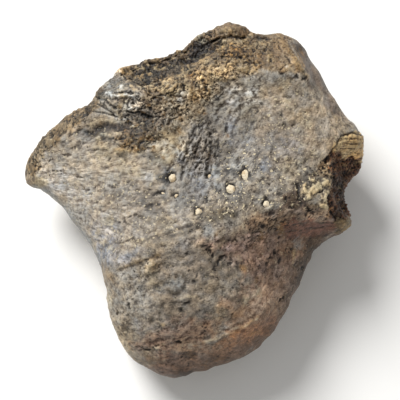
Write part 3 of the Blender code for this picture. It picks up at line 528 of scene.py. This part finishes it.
    (0.65, 0.15): [(248, 93, 20, 8)], (0.7, -0.08): [(57, 187, 18, 7, -30)],
    (0.75, -0.16): [(153, 147, 15, 6)], (0.75, 0.04): [(217, 72, 22, 6)], (0.75, 0.3): [(235, 51, 11, 8)],
}
BROAD_WASH = 9  # a wash this long in pixels or longer has a border that strays as those of patches do
WARMER = np.array((0.5, 0.0, -1.0, 0.0))  # what a wash of one adds to the red, green and blue of both colours

# How strongly each patch carries a texture, or keeps clear of one.
SPONGY = {"spongy rim": 1, "rim band": 1, "mottled middle": 0.6, "calcite": 0.5, "broken tan": 0.15,
          "broken black": 1, "flare bevel": 0.7, "far lip": 0.1, "brown stain": 1, "crumbled ledge": 0.6,
          "dark by the break": 0.4, "dark middle": 1}
LESS_SPONGY = {"rim corner": 0.75, "cream crust": 0.85}
CRUMBLY = {"speckled middle": 0.6, "pale flare": 0.35, "blue hollow": 0.35, "pale hollow": 0.4,
           "condyle grey": 0.35, "warm middle": 0.6, "pale right": 0.5, "worn crest": 0.6}
BROKEN_EDGE = {"rim band": 1, "far lip": 1, "flare bevel": 0.4}
HARD = {"side facet": 0.7, "smooth brown": 0.3}
SPECKLED = {"speckled middle": 1, "pale right": 0.7, "pale flare": 0.5}
PORED = {"condyle grey": 0.3, "under the ridge": 0.25}
RUSTY = {"spongy rim": 0.2, "mottled middle": 0.7, "warm middle": 0.7, "brown stain": 0.7}

# Grains of pale sediment stuck in the back: pixel across, pixel down, width and length in pixels, turn.
GRAINS = {
    "grain_left": (172.6, 178.8, 8.6, 9.0, 20),
    "grain_upper": (245.8, 175.2, 7.8, 11.2, -10),
    "grain_lower": (231.2, 189.4, 9.0, 10.0, -35),
    "grain_right": (266.6, 203.8, 6.4, 7.2, 35),
    "grain_ridge": (198.8, 212.0, 8.0, 7.4, -30),
    "grain_small": (209.6, 176.4, 3.8, 5.0, 0),
    "grain_crack": (163.8, 193.8, 5.4, 3.2, 30),
    "grain_beside": (176.5, 195.8, 5.6, 4.2, -25),
}
GRAIN_MOAT = 1.3  # the hollow round each grain, painted dark as shade, as a share of the grain's size
MOAT_OFF = 1.6  # how far that hollow lies to the upper left of its grain, in pixels
GRAIN_HEIGHT = 0.34  # half a grain's height, as a share of its width or its length, whichever is less
GRAIN_FLAT_FROM, GRAIN_FLAT_SPREAD = 0.62, 0.28  # how far out the flats lie, as a share of its half size
GRAIN_FLATS = 9  # worn flat faces of a grain
GRAIN_CORNERS = 24  # how sharply those faces meet
GRAIN_CHIPS = 0.11  # how rough a grain is, as a share of its size

FLARE_ROOT = (-10.0, 178.0)  # the pixel that the fibres of the flare fan out from
FIBRE_LONG = 2.2
FIBRES_PER_MM = 2.0
SPONGY_BY_FISSURE = (9, 0.4)  # how far from the fissure the bone is spongy, in pixels, and how much
CREST_ROUNDS = 8  # rounds of evening out, which show how far a point stands out from those around it


def linear(code):
    """One sRGB hex colour as linear light, with full alpha."""
    parts = [int(code[i:i + 2], 16) / 255 for i in (1, 3, 5)]
    return (*[p / 12.92 if p <= 0.04045 else ((p + 0.055) / 1.055) ** 2.4 for p in parts], 1.0)


def smooth(share):
    """0 up to 0, 1 from 1, and an even rise between."""
    share = np.clip(share, 0, 1)
    return share * share * (3 - 2 * share)


def photo_places(points):
    """Where the camera sees each point, in pixels across and down."""
    off = points - AIM
    depth = CAMERA_FAR + off @ SIGHT
    right, up = off[:, 0] * FOCAL / depth, off @ PICTURE_UP * FOCAL / depth
    return np.stack([PHOTO / 2 + right, PHOTO / 2 - up], axis=1)


def sight_line(across, down):
    """The line from the camera through one pixel: its start in millimetres, and its way."""
    eye = AIM - SIGHT * CAMERA_FAR
    way = SIGHT * FOCAL + np.array([across - PHOTO / 2, 0, 0]) + PICTURE_UP * (PHOTO / 2 - down)
    return Vector(eye), Vector(way).normalized()


def far_from_line(places, path):
    """How far each flat place lies from a path of straight stretches."""
    nearest = np.full(len(places), np.inf)
    corners = np.array(path, float)
    for start, end in zip(corners, corners[1:]):
        along = end - start
        share = np.clip(((places - start) @ along) / (along @ along), 0, 1)
        foot = start + share[:, None] * along
        nearest = np.minimum(nearest, np.linalg.norm(places - foot, axis=1))
    return nearest


def deep_in_patch(places, outline):
    """How far inside a closed outline each flat place lies, less than nothing outside it."""
    corners = np.array(outline, float)
    inside = np.zeros(len(places), bool)
    for start, end in zip(corners, np.roll(corners, -1, axis=0)):
        spans = (start[1] > places[:, 1]) != (end[1] > places[:, 1])
        rise = end[1] - start[1] if end[1] != start[1] else 1.0
        crossing = start[0] + (places[:, 1] - start[1]) * (end[0] - start[0]) / rise
        inside ^= spans & (places[:, 0] < crossing)
    far = far_from_line(places, [*outline, outline[0]])
    return np.where(inside, far, -far)


def in_any_patch(places, names):
    """True for each flat place that lies in one of these patches, or within a pixel of it."""
    return np.max([deep_in_patch(places, PATCHES[name][0]) for name in names], axis=0) > -1


def in_marks(places, ragged, marks):
    """1 inside any of the oval marks and 0 outside, with soft ragged edges."""
    share = np.zeros(len(places))
    for across, down, half_length, half_width, *slant in marks:
        right, up = places[:, 0] - across, down - places[:, 1]
        turn = math.radians(sum(slant))  # level if no slant is given
        along = (right * math.cos(turn) + up * math.sin(turn)) / half_length
        aside = (up * math.cos(turn) - right * math.sin(turn)) / half_width
        share = np.maximum(share, smooth((MARK_END - np.hypot(along, aside) + ragged) / MARK_FADE))
    return share


def rough(points, spacing, octaves, seed):
    """Fractal noise around nothing, in lumps about one spacing apart."""
    shift = Vector((seed, seed * 1.7, seed * 0.6))
    return np.array([noise.fractal(Vector(spot) + shift, *FRACTAL, octaves) for spot in points / spacing])


def strays(points, spacing, octaves, *seeds):
    """The same noise in as many directions as there are seeds."""
    return np.stack([rough(points, spacing, octaves, seed) for seed in seeds], axis=1)


def cells(points, spacing, seed):
    """Distances to the nearest and second nearest of seeds scattered about one spacing apart."""
    shift = Vector((seed, seed * 1.7, seed * 0.6))
    near = [noise.voronoi(Vector(spot) + shift)[0] for spot in points / spacing]
    return np.array([pair[0] for pair in near]), np.array([pair[1] for pair in near])


def only(obj):
    """Selects this object and nothing else."""
    bpy.ops.object.select_all(action="DESELECT")
    obj.select_set(True)
    bpy.context.view_layer.objects.active = obj


def apply(obj, kind, **settings):
    """Adds one modifier with its settings and applies it."""
    only(obj)
    modifier = obj.modifiers.new(kind.lower(), kind)
    for name, value in settings.items():
        setattr(modifier, name, value)
    bpy.ops.object.modifier_apply(modifier=modifier.name)


def read(obj):
    """An object's points, in millimetres, and its normals."""
    count = len(obj.data.vertices)
    points, normals = np.empty(count * 3), np.empty(count * 3)
    obj.data.vertices.foreach_get("co", points)
    obj.data.vertex_normals.foreach_get("vector", normals)
    return points.reshape(-1, 3) / MM, normals.reshape(-1, 3)


def write(obj, points):
    """Moves an object's points to these places, in millimetres."""
    obj.data.vertices.foreach_set("co", (points * MM).ravel())
    obj.data.update()


def store(obj, name, values):
    """Keeps one number, or one colour or direction, for each point of the mesh."""
    kind, field = {1: ("FLOAT", "value"), 2: ("FLOAT_VECTOR", "vector")}[values.ndim]
    if values.ndim == 2 and values.shape[1] == 4:
        kind, field = "FLOAT_COLOR", "color"
    attribute = obj.data.attributes.new(name, kind, "POINT")
    attribute.data.foreach_set(field, np.ascontiguousarray(values, np.float32).ravel())


def fine_bone():
    """A copy of the solid bone with small even faces, finer still where the camera sees it."""
    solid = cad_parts["toe_bone"]
    bone = bpy.data.objects.new("bone", solid.data.copy())
    bpy.context.scene.collection.objects.link(bone)
    only(bone)
    bpy.ops.object.mode_set(mode="EDIT")
    bpy.ops.mesh.select_all(action="SELECT")
    bpy.ops.mesh.remove_doubles(threshold=MERGED_WITHIN * MM)
    bpy.ops.object.mode_set(mode="OBJECT")
    apply(bone, "SUBSURF", levels=1, render_levels=1)
    apply(bone, "REMESH", mode="VOXEL", voxel_size=VOXEL * MM)
    for finest in (False, True):
        count = len(bone.data.polygons)
        centres, normals = np.empty(count * 3), np.empty(count * 3)
        bone.data.polygons.foreach_get("center", centres)
        bone.data.polygons.foreach_get("normal", normals)
        facing = normals.reshape(-1, 3) @ -SIGHT
        places = photo_places(centres.reshape(-1, 3) / MM)
        chosen = (facing > FINE_FROM) | (in_any_patch(places, BROKEN) & (facing > FINE_BREAK_FROM))
        if finest:
            chosen &= in_any_patch(places, FINEST)
        bpy.ops.object.mode_set(mode="EDIT")
        bpy.ops.mesh.select_all(action="DESELECT")
        bpy.ops.object.mode_set(mode="OBJECT")
        bone.data.polygons.foreach_set("select", chosen)
        bpy.ops.object.mode_set(mode="EDIT")
        bpy.ops.mesh.select_mode(type="FACE")
        bpy.ops.mesh.subdivide(number_cuts=1, smoothness=0)
        bpy.ops.object.mode_set(mode="OBJECT")
    return bone


def pull_outline(bone):
    """Evens up the outline with the small pulls."""
    points, _normals = read(bone)
    places = photo_places(points)
    for across, down, reach, right, up in PULLS:
        share = smooth(1 - np.hypot(places[:, 0] - across, places[:, 1] - down) / reach)
        points += share[:, None] * np.array((right, up, 0)) * PIXEL
    write(bone, points)


class Surface:
    """The bone's points with all that the relief and the paint need to know of them."""

    def __init__(self, bone):
        self.bone = bone
        self.points, self.normals = read(bone)
        self.places = photo_places(self.points)
        # As the camera sees it: across, down and a part of the height, in millimetres.
        self.flat = np.stack([*(self.places.T * PIXEL), self.points[:, 2] * 0.45], axis=1)
        facing = self.normals @ -SIGHT
        self.top, self.seen, wrapped, corner = (
            smooth((facing - start) / span) for start, span in (TOP, SEEN, OVER_THE_EDGE, DOWN_THE_BREAK))
        stray = strays(self.points, 3.2, 4, 11.0, 23.0)
        steep = smooth((0.4 - facing) / 0.5)[:, None]
        self.wandering = self.places + stray * PATCH_STRAY
        self.close = self.places + strays(self.points, 1.6, 3, 5.0, 7.0) * MARK_STRAY
        down_the_break = self.wandering + stray * BREAK_STRAY * steep
        self.blotches = rough(self.points, 1.7, 3, 41.0)
        self.deep = {}  # how deep in each patch of paint a point lies, from 0 to 1
        for name, (outline, feather, *_paint) in PATCHES.items():
            edge = deep_in_patch(down_the_break if name in CORNER else self.wandering, outline) / feather
            gate = corner if name in CORNER else wrapped if name in WRAPPED else self.seen
            self.deep[name] = smooth(0.5 + edge + self.blotches * 0.5) * gate
        edges = np.empty(len(bone.data.edges) * 2, np.int32)
        bone.data.edges.foreach_get("vertices", edges)
        self.edges = edges.reshape(-1, 2)
        self.uneven = 0.75 + 0.9 * rough(self.points, 1.8, 2, 51.0)  # how worked lines come and go
        self.ragged = rough(self.points, 0.7, 3, 61.0) * 0.9  # how the edges of marks are frayed
        self.marked = {
            name: self.marks(marks, RAGGED.get(name, 1)) for name, (*_look, marks) in MARKS.items()}
        self.grit = self.marks(GRIT)
        moats = [(across - MOAT_OFF, down - MOAT_OFF, width / 2 * GRAIN_MOAT, length / 2 * GRAIN_MOAT)
                 for across, down, width, length, _turn in GRAINS.values()]
        self.moats = self.marks(moats, 0.5)

    def marks(self, marks, raggedness=1):
        """1 in any of the marks and 0 outside them, on what the camera sees."""
        return in_marks(self.close, self.ragged * raggedness, marks) * self.seen

    def line(self, path, reach, places=None):
        """1 on a path, falling to 0 at its reach, on what the camera sees."""
        far = far_from_line(self.close if places is None else places, path)
        return smooth(1 - far / reach) * self.seen

    def carrying(self, weights, more=0):
        """How strongly each point carries a texture, from the patches it lies in and what more is given."""
        return np.clip(sum(weight * self.deep[name] for name, weight in weights.items()) + more, 0, 1)

    def blurred(self, values, rounds):
        """The values evened out over the mesh, each point with its neighbours, some rounds over."""
        first, second = self.edges.T
        count = np.bincount(self.edges.ravel(), minlength=len(values))
        for _round in range(rounds):
            around = np.bincount(first, values[second], len(values))
            around += np.bincount(second, values[first], len(values))
            values = (values + around) / (1 + count)
        return values

    def lie(self, turn, length, width):
        """Coordinates that follow streaks with one slant in the picture."""
        slant = math.radians(turn)
        right, up = self.places[:, 0] * PIXEL, -self.places[:, 1] * PIXEL
        along = right * math.cos(slant) + up * math.sin(slant)
        aside = up * math.cos(slant) - right * math.sin(slant)
        return np.stack([along / length, aside / width, self.points[:, 2] / length], axis=1)

    def fibres(self):
        """Coordinates that follow the fibres of the flare: along them, across them and into the bone."""
        off = self.places - FLARE_ROOT
        along = np.linalg.norm(off, axis=1) * PIXEL / FIBRE_LONG
        across = np.arctan2(off[:, 1], off[:, 0]) * 100 * PIXEL * FIBRES_PER_MM
        bend = strays(self.points, 3.0, 2, 84.0, 85.0, 86.0) * 0.8
        return np.stack([along, across, self.points[:, 2] / FIBRE_LONG], axis=1) + bend


def work_relief(surface):
    """All the relief finer than the solid's, from ledges and cracks down to the grain of the surface.

    Each call of rough gives the size of its lumps, and the number in front of a texture is its lift.
    """
    points, deep = surface.points, surface.deep
    lift = np.zeros(len(points))
    for name, (feather, height) in WORKED_PATCHES.items():
        inside = deep_in_patch(surface.close, PATCHES[name][0])
        lift += height * smooth(0.5 + inside / feather) * surface.top
    for path, reach, height in WORKED_LINES.values():
        lift += height * surface.line(path, reach) * surface.uneven
    for name, (_code, _strength, height, _marks) in MARKS.items():
        lift += height * surface.marked[name]

    reach, amount = SPONGY_BY_FISSURE
    spongy = surface.carrying(SPONGY, amount * surface.line(PAINTED_LINES["fissure"][0], reach))
    for name, weight in LESS_SPONGY.items():
        spongy = spongy * (1 - weight * deep[name])
    crumbly = surface.carrying(CRUMBLY) * (1 - spongy)

    # The open texture of worn bone: gaps between clumps, holes, and curved threads.
    bent = points + strays(points, 0.9, 2, 71.0, 72.0, 73.0) * 0.4
    near, second = cells(bent, 0.75, 3.0)
    gap = smooth(1 - (second - near) * 3.2) * smooth(0.55 + rough(points, 3.0, 2, 9.0) * 1.3)
    hole = smooth((rough(bent, 0.65, 3, 19.0) + 0.5 * rough(points, 2.6, 2, 9.0) - 0.2) / 0.25)
    arc = smooth(1 - np.abs(rough(points, 1.9, 3, 29.0)) / 0.10)
    arc *= smooth(0.5 + rough(points, 3.4, 2, 39.0) * 1.6)
    lift -= (0.04 * spongy + 0.12 * crumbly + 0.03) * gap
    lift -= (0.22 * spongy + 0.08 * surface.grit) * hole
    lift -= (0.26 * spongy + 0.10 * crumbly) * arc
    near, _second = cells(surface.flat, 0.8, 33.0)
    lift -= 0.40 * deep["rim band"] * smooth((0.36 - near + 0.2 * rough(points, 2.0, 2, 43.0)) / 0.15)

    # Lumps and grain, coarse and fine, more where the bone is open.
    coarse = rough(points, 2.2, 4, 2.0)
    lift += (0.13 + 0.12 * spongy + 0.06 * crumbly - 0.05 * deep["pale flare"]) * coarse
    lift += (0.07 + 0.12 * spongy + 0.07 * crumbly) * rough(points, 0.7, 3, 12.0)
    lift += 0.36 * surface.carrying(BROKEN_EDGE) * rough(points, 2.6, 3, 93.0)
    lift -= 0.45 * surface.moats

    # The break, crumbled where it is spongy and layered where it is dense.
    lift += 0.6 * deep["broken black"] * rough(points, 1.5, 4, 91.0)
    lift += 0.14 * deep["broken tan"] * rough(surface.flat * (0.35, 2.4, 0.6), 1.0, 3, 92.0)

    # Ripples in the hollow, fibres on the flare and long low swells on the condyle.
    ripples = surface.lie(66, 1.5, 0.68) + strays(points, 1.8, 2, 81.0, 82.0, 83.0) * 0.9
    lift += (0.22 * deep["blue hollow"] + 0.28 * deep["dark hollow"]) * rough(ripples, 1.0, 4, 4.0)
    lift += 0.15 * deep["pale flare"] * rough(surface.fibres(), 1.0, 4, 6.0)
    lift += 0.26 * deep["condyle grey"] * rough(surface.lie(24, 6.5, 3.0), 1.0, 4, 14.0)

    hard = surface.carrying(HARD)
    lift *= 1 - 0.7 * hard
    moved = points + surface.normals * lift[:, None]
    moved[:, 2] = np.maximum(moved[:, 2], 0)
    write(surface.bone, moved)
    surface.points, surface.normals = read(surface.bone)
    surface.spongy, surface.hard = spongy, hard
    surface.crest = lift - surface.blurred(lift, CREST_ROUNDS)


def paint(surface):
    """Two colours for each point, light and dark, which the mineral's grain then mixes."""
    points, deep = surface.points, surface.deep
    light = np.tile(linear("#b0a698"), (len(points), 1))
    dark = np.tile(linear("#564f47"), (len(points), 1))

    def over(share, light_code, dark_code):
        """Paints over both colours, as strongly as the share says."""
        nonlocal light, dark
        light = light * (1 - share[:, None]) + np.array(linear(light_code)) * share[:, None]
        dark = dark * (1 - share[:, None]) + np.array(linear(dark_code)) * share[:, None]

    over(smooth(0.5 + rough(points, 14.0, 3, 31.0) * 1.4), "#a3927a", "#43382d")
    for name, (_outline, _feather, light_code, dark_code, strength) in PATCHES.items():
        over(deep[name] * strength, light_code, dark_code)
    for path, reach, light_code, dark_code, strength in PAINTED_LINES.values():
        places = surface.close if reach < LONG_REACH else surface.wandering
        over(surface.line(path, reach, places) * strength, light_code, dark_code)

    # Flecks and stains that follow no outline.
    fleck = smooth((rough(surface.flat, 0.8, 3, 53.0) - 0.02) / 0.3)
    over(fleck * deep["rim band"] * (1 - deep["rim black"]) * 0.55, "#98825f", "#382c1e")
    over(fleck * deep["broken black"] * 0.7, "#93714f", "#38230f")
    over(fleck * deep["flare bevel"] * 0.35, "#a08a6a", "#4a3b2a")
    brown = smooth(0.5 + rough(points, 2.4, 3, 63.0) * 1.7)
    over(brown * deep["spongy rim"] * 0.5, "#77603f", "#22170d")
    yellow = smooth(rough(points, 1.8, 3, 73.0) * 2.2 - 0.2)
    over(yellow * deep["spongy rim"] * (1 - deep["rim corner"]) * 0.5, "#b9a27b", "#57462f")

    # Washes of the mineral's own tone, of painted shade and painted light, and of painted warm reflection.
    for (lighter, warmer), ovals in TONE_AND_SHADE_WASHES.items():
        change = lighter + WARMER * warmer
        for oval in ovals:
            places = surface.close if max(oval[2:4]) < BROAD_WASH else surface.wandering
            share = (in_marks(places, surface.blotches * 0.4, (oval,)) * surface.seen)[:, None]
            light, dark = light * (1 + share * change), dark * (1 + share * change)
    for name, (code, strength, _height, _marks) in MARKS.items():
        share = (surface.marked[name] * strength)[:, None]
        light = light * (1 - share) + np.array(linear(code)) * share
        dark = dark * (1 - share) + np.array(linear(code)) * share * MARK_SHADE
    # Painted shade in the hollow round each grain.
    over(surface.moats * 0.85, "#453a2f", "#140f0b")

    # Painted shade and dirt fill what lies lower than what is round it, and the worked grooves, most the
    # deepest.
    low = smooth(-surface.crest / 0.2 - 0.4) * 0.55 * (1 - 0.6 * deep["cream crust"])
    hollow = np.maximum(0, low)
    for path, reach, height in WORKED_LINES.values():
        if height < 0:
            share = surface.line(path, reach * 0.8) * surface.uneven * min(1, -height * 0.8)
            hollow = np.maximum(hollow, np.clip(share, 0, 1))
    specks = 0.25 + 0.75 * surface.carrying(SPECKLED)
    unspecked = np.clip(deep["broken black"] + surface.hard + deep["distal face"], 0, 1)
    pores = 0.2 + 0.5 * surface.carrying(PORED, surface.spongy)
    rust = 0.12 + 0.88 * surface.carrying(RUSTY)
    for name, values in {
        "light_paint": light,
        "dark_paint": dark,
        # painted shade and dirt in what lies low
        "hollow": hollow,
        # how far each point stands out, which the material paints lighter as a highlight
        "crest": np.clip(0.5 + surface.crest / 0.4, 0, 1),
        "specks": specks * (1 - unspecked),
        "pores": pores * (1 - surface.hard) * (1 - deep["cream crust"]) + 0.9 * surface.grit,
        "rust": rust * (1 - surface.hard) * (1 - deep["blue hollow"]),
        "fibres": deep["pale flare"] * 0.7,
        "lie": surface.fibres(),
    }.items():
        store(surface.bone, name, values)


def add(tree, kind, inputs=(), out=0, **settings):
    """Adds a shader node, sets its settings, sets or links its inputs, and gives back one of its outputs."""
    made = tree.nodes.new("ShaderNode" + kind)
    for name, value in settings.items():
        setattr(made, name, value)
    for socket, value in dict(inputs).items():
        if isinstance(value, bpy.types.NodeSocket):
            tree.links.new(value, made.inputs[socket])
        else:
            made.inputs[socket].default_value = value
    return made.outputs[out]


def start_material(name):
    """A new material with its tree and its shader."""
    material = bpy.data.materials.new(name)
    material.use_nodes = True
    return material, material.node_tree, material.node_tree.nodes["Principled BSDF"]


def mineral_bone():
    """Bone filled with mineral, dug out and brushed clean: dull, gritty, with black pores and pale specks.

    The finest grit of such bone is smaller than a pixel, so the grit here is drawn coarse enough to show.
    """
    material, tree, shader = start_material("mineralised_bone")
    place = add(tree, "TexCoord", out="Object")
    light, dark = (
        add(tree, "Attribute", out="Color", attribute_name=name) for name in ("light_paint", "dark_paint"))
    hollow, crest, specked, pored, rusted, fibred = (
        add(tree, "Attribute", out="Fac", attribute_name=name)
        for name in ("hollow", "crest", "specks", "pores", "rust", "fibres"))

    def patchy(size, detail, seed):
        """Noise in patches of about this size in millimetres, from 0 to 1."""
        moved = add(tree, "VectorMath", {0: place, 1: (seed, seed, seed)}, operation="ADD")
        scale = 1 / (size * MM)
        return add(tree, "TexNoise", {"Vector": moved, "Scale": scale, "Detail": detail, "Roughness": 0.6})

    def patches(size, detail, seed, low, high, share):
        """Patches where that noise is high, as strong as the share given: none below low, all above high."""
        noise_there = patchy(size, detail, seed)
        risen = add(tree, "MapRange", {"Value": noise_there, "From Min": low, "From Max": high})
        return add(tree, "Math", {0: risen, 1: share}, operation="MULTIPLY")

    # The grain: coarse and fine patches, or fibres where the bone is fibrous, lighter on what stands out,
    # as a painted highlight on the crests.
    lie = add(tree, "Attribute", out="Vector", attribute_name="lie")
    fibre = add(tree, "TexNoise", {"Vector": lie, "Scale": 1.5, "Detail": 5, "Roughness": 0.65})
    grit = add(tree, "Mix", {0: 0.55, 2: patchy(0.9, 4, 0), 3: patchy(0.4, 2, 6)})
    fine = add(tree, "Mix", {0: fibred, 2: grit, 3: fibre})
    coarse = add(tree, "Mix", {0: 0.5, 2: patchy(2.6, 5, 0), 3: patchy(1.5, 3, 1)})
    both = add(tree, "Mix", {0: 0.64, 2: coarse, 3: fine})
    tone = add(tree, "Mix", {0: 0.28, 2: both, 3: crest})
    grain = add(tree, "MapRange", {"Value": tone, "From Min": 0.415, "From Max": 0.585})

    # Pores, a little more where the paint asks for them, and the painted shade and dirt in them and in the
    # hollows.
    gritty = add(tree, "Math", {0: pored, 1: 0.1, 2: patchy(0.8, 3, 5)}, operation="MULTIPLY_ADD")
    pores = add(tree, "MapRange", {"Value": gritty, "From Min": 0.68, "From Max": 0.74})
    low = add(tree, "Math", {0: pores, 1: hollow}, operation="MAXIMUM")
    shade_and_dirt_share = add(tree, "Math", {0: low, 1: 0.88}, operation="MULTIPLY")

    # The colour, one layer over the other.
    warmth = patches(3.4, 6, 2, 0.40, 0.60, 1.0)
    layers = {"data_type": "RGBA", "out": 2}
    cast = add(tree, "Mix", {0: warmth, 6: (0.95, 1.0, 1.05, 1), 7: (1.07, 1.0, 0.89, 1)}, **layers)
    shade_and_dirt = add(tree, "Mix", {0: 1.0, 6: dark, 7: (0.31, 0.25, 0.19, 1)}, blend_type="MULTIPLY", **layers)
    colour = dark
    for share, over, kind in (
            (grain, light, "MIX"),
            (1.0, cast, "MULTIPLY"),
            (patches(1.2, 3, 3, 0.55, 0.70, rusted), linear("#80623a"), "MIX"),
            # Pale specks: the mineral's own pale crystals, and also painted glints where such crystals catch
            # the light.
            (patches(0.7, 2, 4, 0.60, 0.68, specked), linear("#d0c19f"), "MIX"),
            (shade_and_dirt_share, shade_and_dirt, "MIX")):
        colour = add(tree, "Mix", {0: share, 6: colour, 7: over}, blend_type=kind, **layers)

    height = add(tree, "Math", {0: fine, 1: pores}, operation="SUBTRACT")
    bump = add(tree, "Bump", {"Height": height, "Strength": 0.8, "Distance": 0.4 * MM})
    tree.links.new(colour, shader.inputs["Base Color"])
    tree.links.new(bump, shader.inputs["Normal"])
    shader.inputs["Roughness"].default_value = 0.55
    shader.inputs["IOR"].default_value = 1.5
    shader.inputs["Specular IOR Level"].default_value = 0.4
    return material


def sediment():
    """Pale sandstone left in the hollows: grains of quartz and lime, dull and rough, with tan stains."""
    material, tree, shader = start_material("pale_sandstone")
    place = add(tree, "TexCoord", out="Object")
    sand = add(tree, "TexNoise", {"Vector": place, "Scale": 1 / (0.35 * MM), "Detail": 3, "Roughness": 0.7})
    patch = add(tree, "TexNoise", {"Vector": place, "Scale": 1 / (1.4 * MM), "Detail": 2})
    stain = add(tree, "MapRange", {"Value": patch, "From Min": 0.48, "From Max": 0.62, "To Max": 0.6})
    colour = linear("#b09a76")
    for share, over in ((sand, "#f6ecd4"), (stain, "#a98a5c")):
        colour = add(tree, "Mix", {0: share, 6: colour, 7: linear(over)}, out=2, data_type="RGBA")
    bump = add(tree, "Bump", {"Height": sand, "Strength": 0.8, "Distance": 0.2 * MM})
    tree.links.new(colour, shader.inputs["Base Color"])
    tree.links.new(bump, shader.inputs["Normal"])
    shader.inputs["Roughness"].default_value = 0.8
    return material


def set_grain(name, across, down, width, length, turn, bone_tree, material):
    """One worn angular grain of sediment, sunk to half its height in the surface."""
    start, way = sight_line(across, down)
    spot, normal, _face, _far = bone_tree.ray_cast(start * MM, way)
    half = Vector((width / 2, length / 2, min(width, length) * GRAIN_HEIGHT)) * PIXEL * MM
    bpy.ops.object.select_all(action="DESELECT")
    bpy.ops.mesh.primitive_ico_sphere_add(subdivisions=4, radius=1)
    grain = bpy.context.object
    grain.name = name
    long_way = Matrix.Rotation(math.radians(-turn), 3, normal) @ Vector(PICTURE_UP)
    wide_way = long_way.cross(normal).normalized()
    long_way = normal.cross(wide_way)
    flats = [(noise.random_unit_vector(), GRAIN_FLAT_FROM + GRAIN_FLAT_SPREAD * noise.random())
             for _flat in range(GRAIN_FLATS)]
    for vertex in grain.data.vertices:
        out = vertex.co.copy()
        worn = sum((max(out.dot(flat), 0) / far) ** GRAIN_CORNERS for flat, far in flats)
        chips = 1 + GRAIN_CHIPS * noise.fractal(out * 2.2 + spot * 900, *FRACTAL, 4)
        x, y, z = (o * h * chips * (0.6 + worn) ** (-1 / GRAIN_CORNERS) for o, h in zip(out, half))
        vertex.co = spot + wide_way * x + long_way * y + normal * z
    grain.data.shade_smooth()
    grain.data.materials.append(material)
    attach(grain, "root")


def make_bone():
    """The fine bone with its relief, its paint and its material."""
    bone = fine_bone()
    pull_outline(bone)
    surface = Surface(bone)
    work_relief(surface)
    paint(surface)
    bone.data.materials.clear()
    bone.data.materials.append(mineral_bone())
    bone.data.shade_smooth()
    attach(bone, "root")
    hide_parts("toe_bone")
    return bone


def make_grains(bone):
    """The grains of sediment, set where the camera sees their places on the bone."""
    points = [vertex.co.copy() for vertex in bone.data.vertices]
    faces = [tuple(face.vertices) for face in bone.data.polygons]
    bone_tree = BVHTree.FromPolygons(points, faces)
    stone = sediment()
    noise.seed_set(7)
    for name, measures in GRAINS.items():
        set_grain(name, *measures, bone_tree, stone)


def make_studio():
    """A pale floor, one large soft light behind and to the left, and an even fill from all round."""
    bpy.ops.object.select_all(action="DESELECT")
    bpy.ops.mesh.primitive_plane_add(size=6, location=(0, 0, -FLOOR_BELOW * MM))
    floor = bpy.context.object
    floor.name = "floor"
    material, _tree, shader = start_material("pale_card")
    shader.inputs["Base Color"].default_value = linear("#f2f1ee")
    shader.inputs["Roughness"].default_value = 0.9
    floor.data.materials.append(material)
    light = bpy.data.lights.new("soft_key", "AREA")
    light.shape = "DISK"
    light.size = KEY_WIDTH
    light.energy = KEY_POWER
    key = bpy.data.objects.new("soft_key", light)
    key.location = KEY_PLACE
    key.rotation_euler = (Vector(KEY_AIM) - key.location).to_track_quat("-Z", "Y").to_euler()
    bpy.context.scene.collection.objects.link(key)
    world = bpy.data.worlds.new("fill")
    world.use_nodes = True
    world.node_tree.nodes["Background"].inputs["Color"].default_value = (1, 1, 1, 1)
    world.node_tree.nodes["Background"].inputs["Strength"].default_value = FILL
    bpy.context.scene.world = world
    bpy.context.scene.view_settings.view_transform = "Standard"


def make_camera():
    """The camera, where the photograph was taken from."""
    data = bpy.data.cameras.new("camera")
    data.lens = LENS
    data.sensor_width = SENSOR
    data.clip_start = 0.01
    camera = bpy.data.objects.new("camera", data)
    camera.location = Vector(AIM - SIGHT * CAMERA_FAR) * MM
    camera.rotation_euler = Vector(SIGHT).to_track_quat("-Z", "Y").to_euler()
    bpy.context.scene.collection.objects.link(camera)
    bpy.context.scene.camera = camera


make_camera()
make_studio()
bone = make_bone()
make_grains(bone)
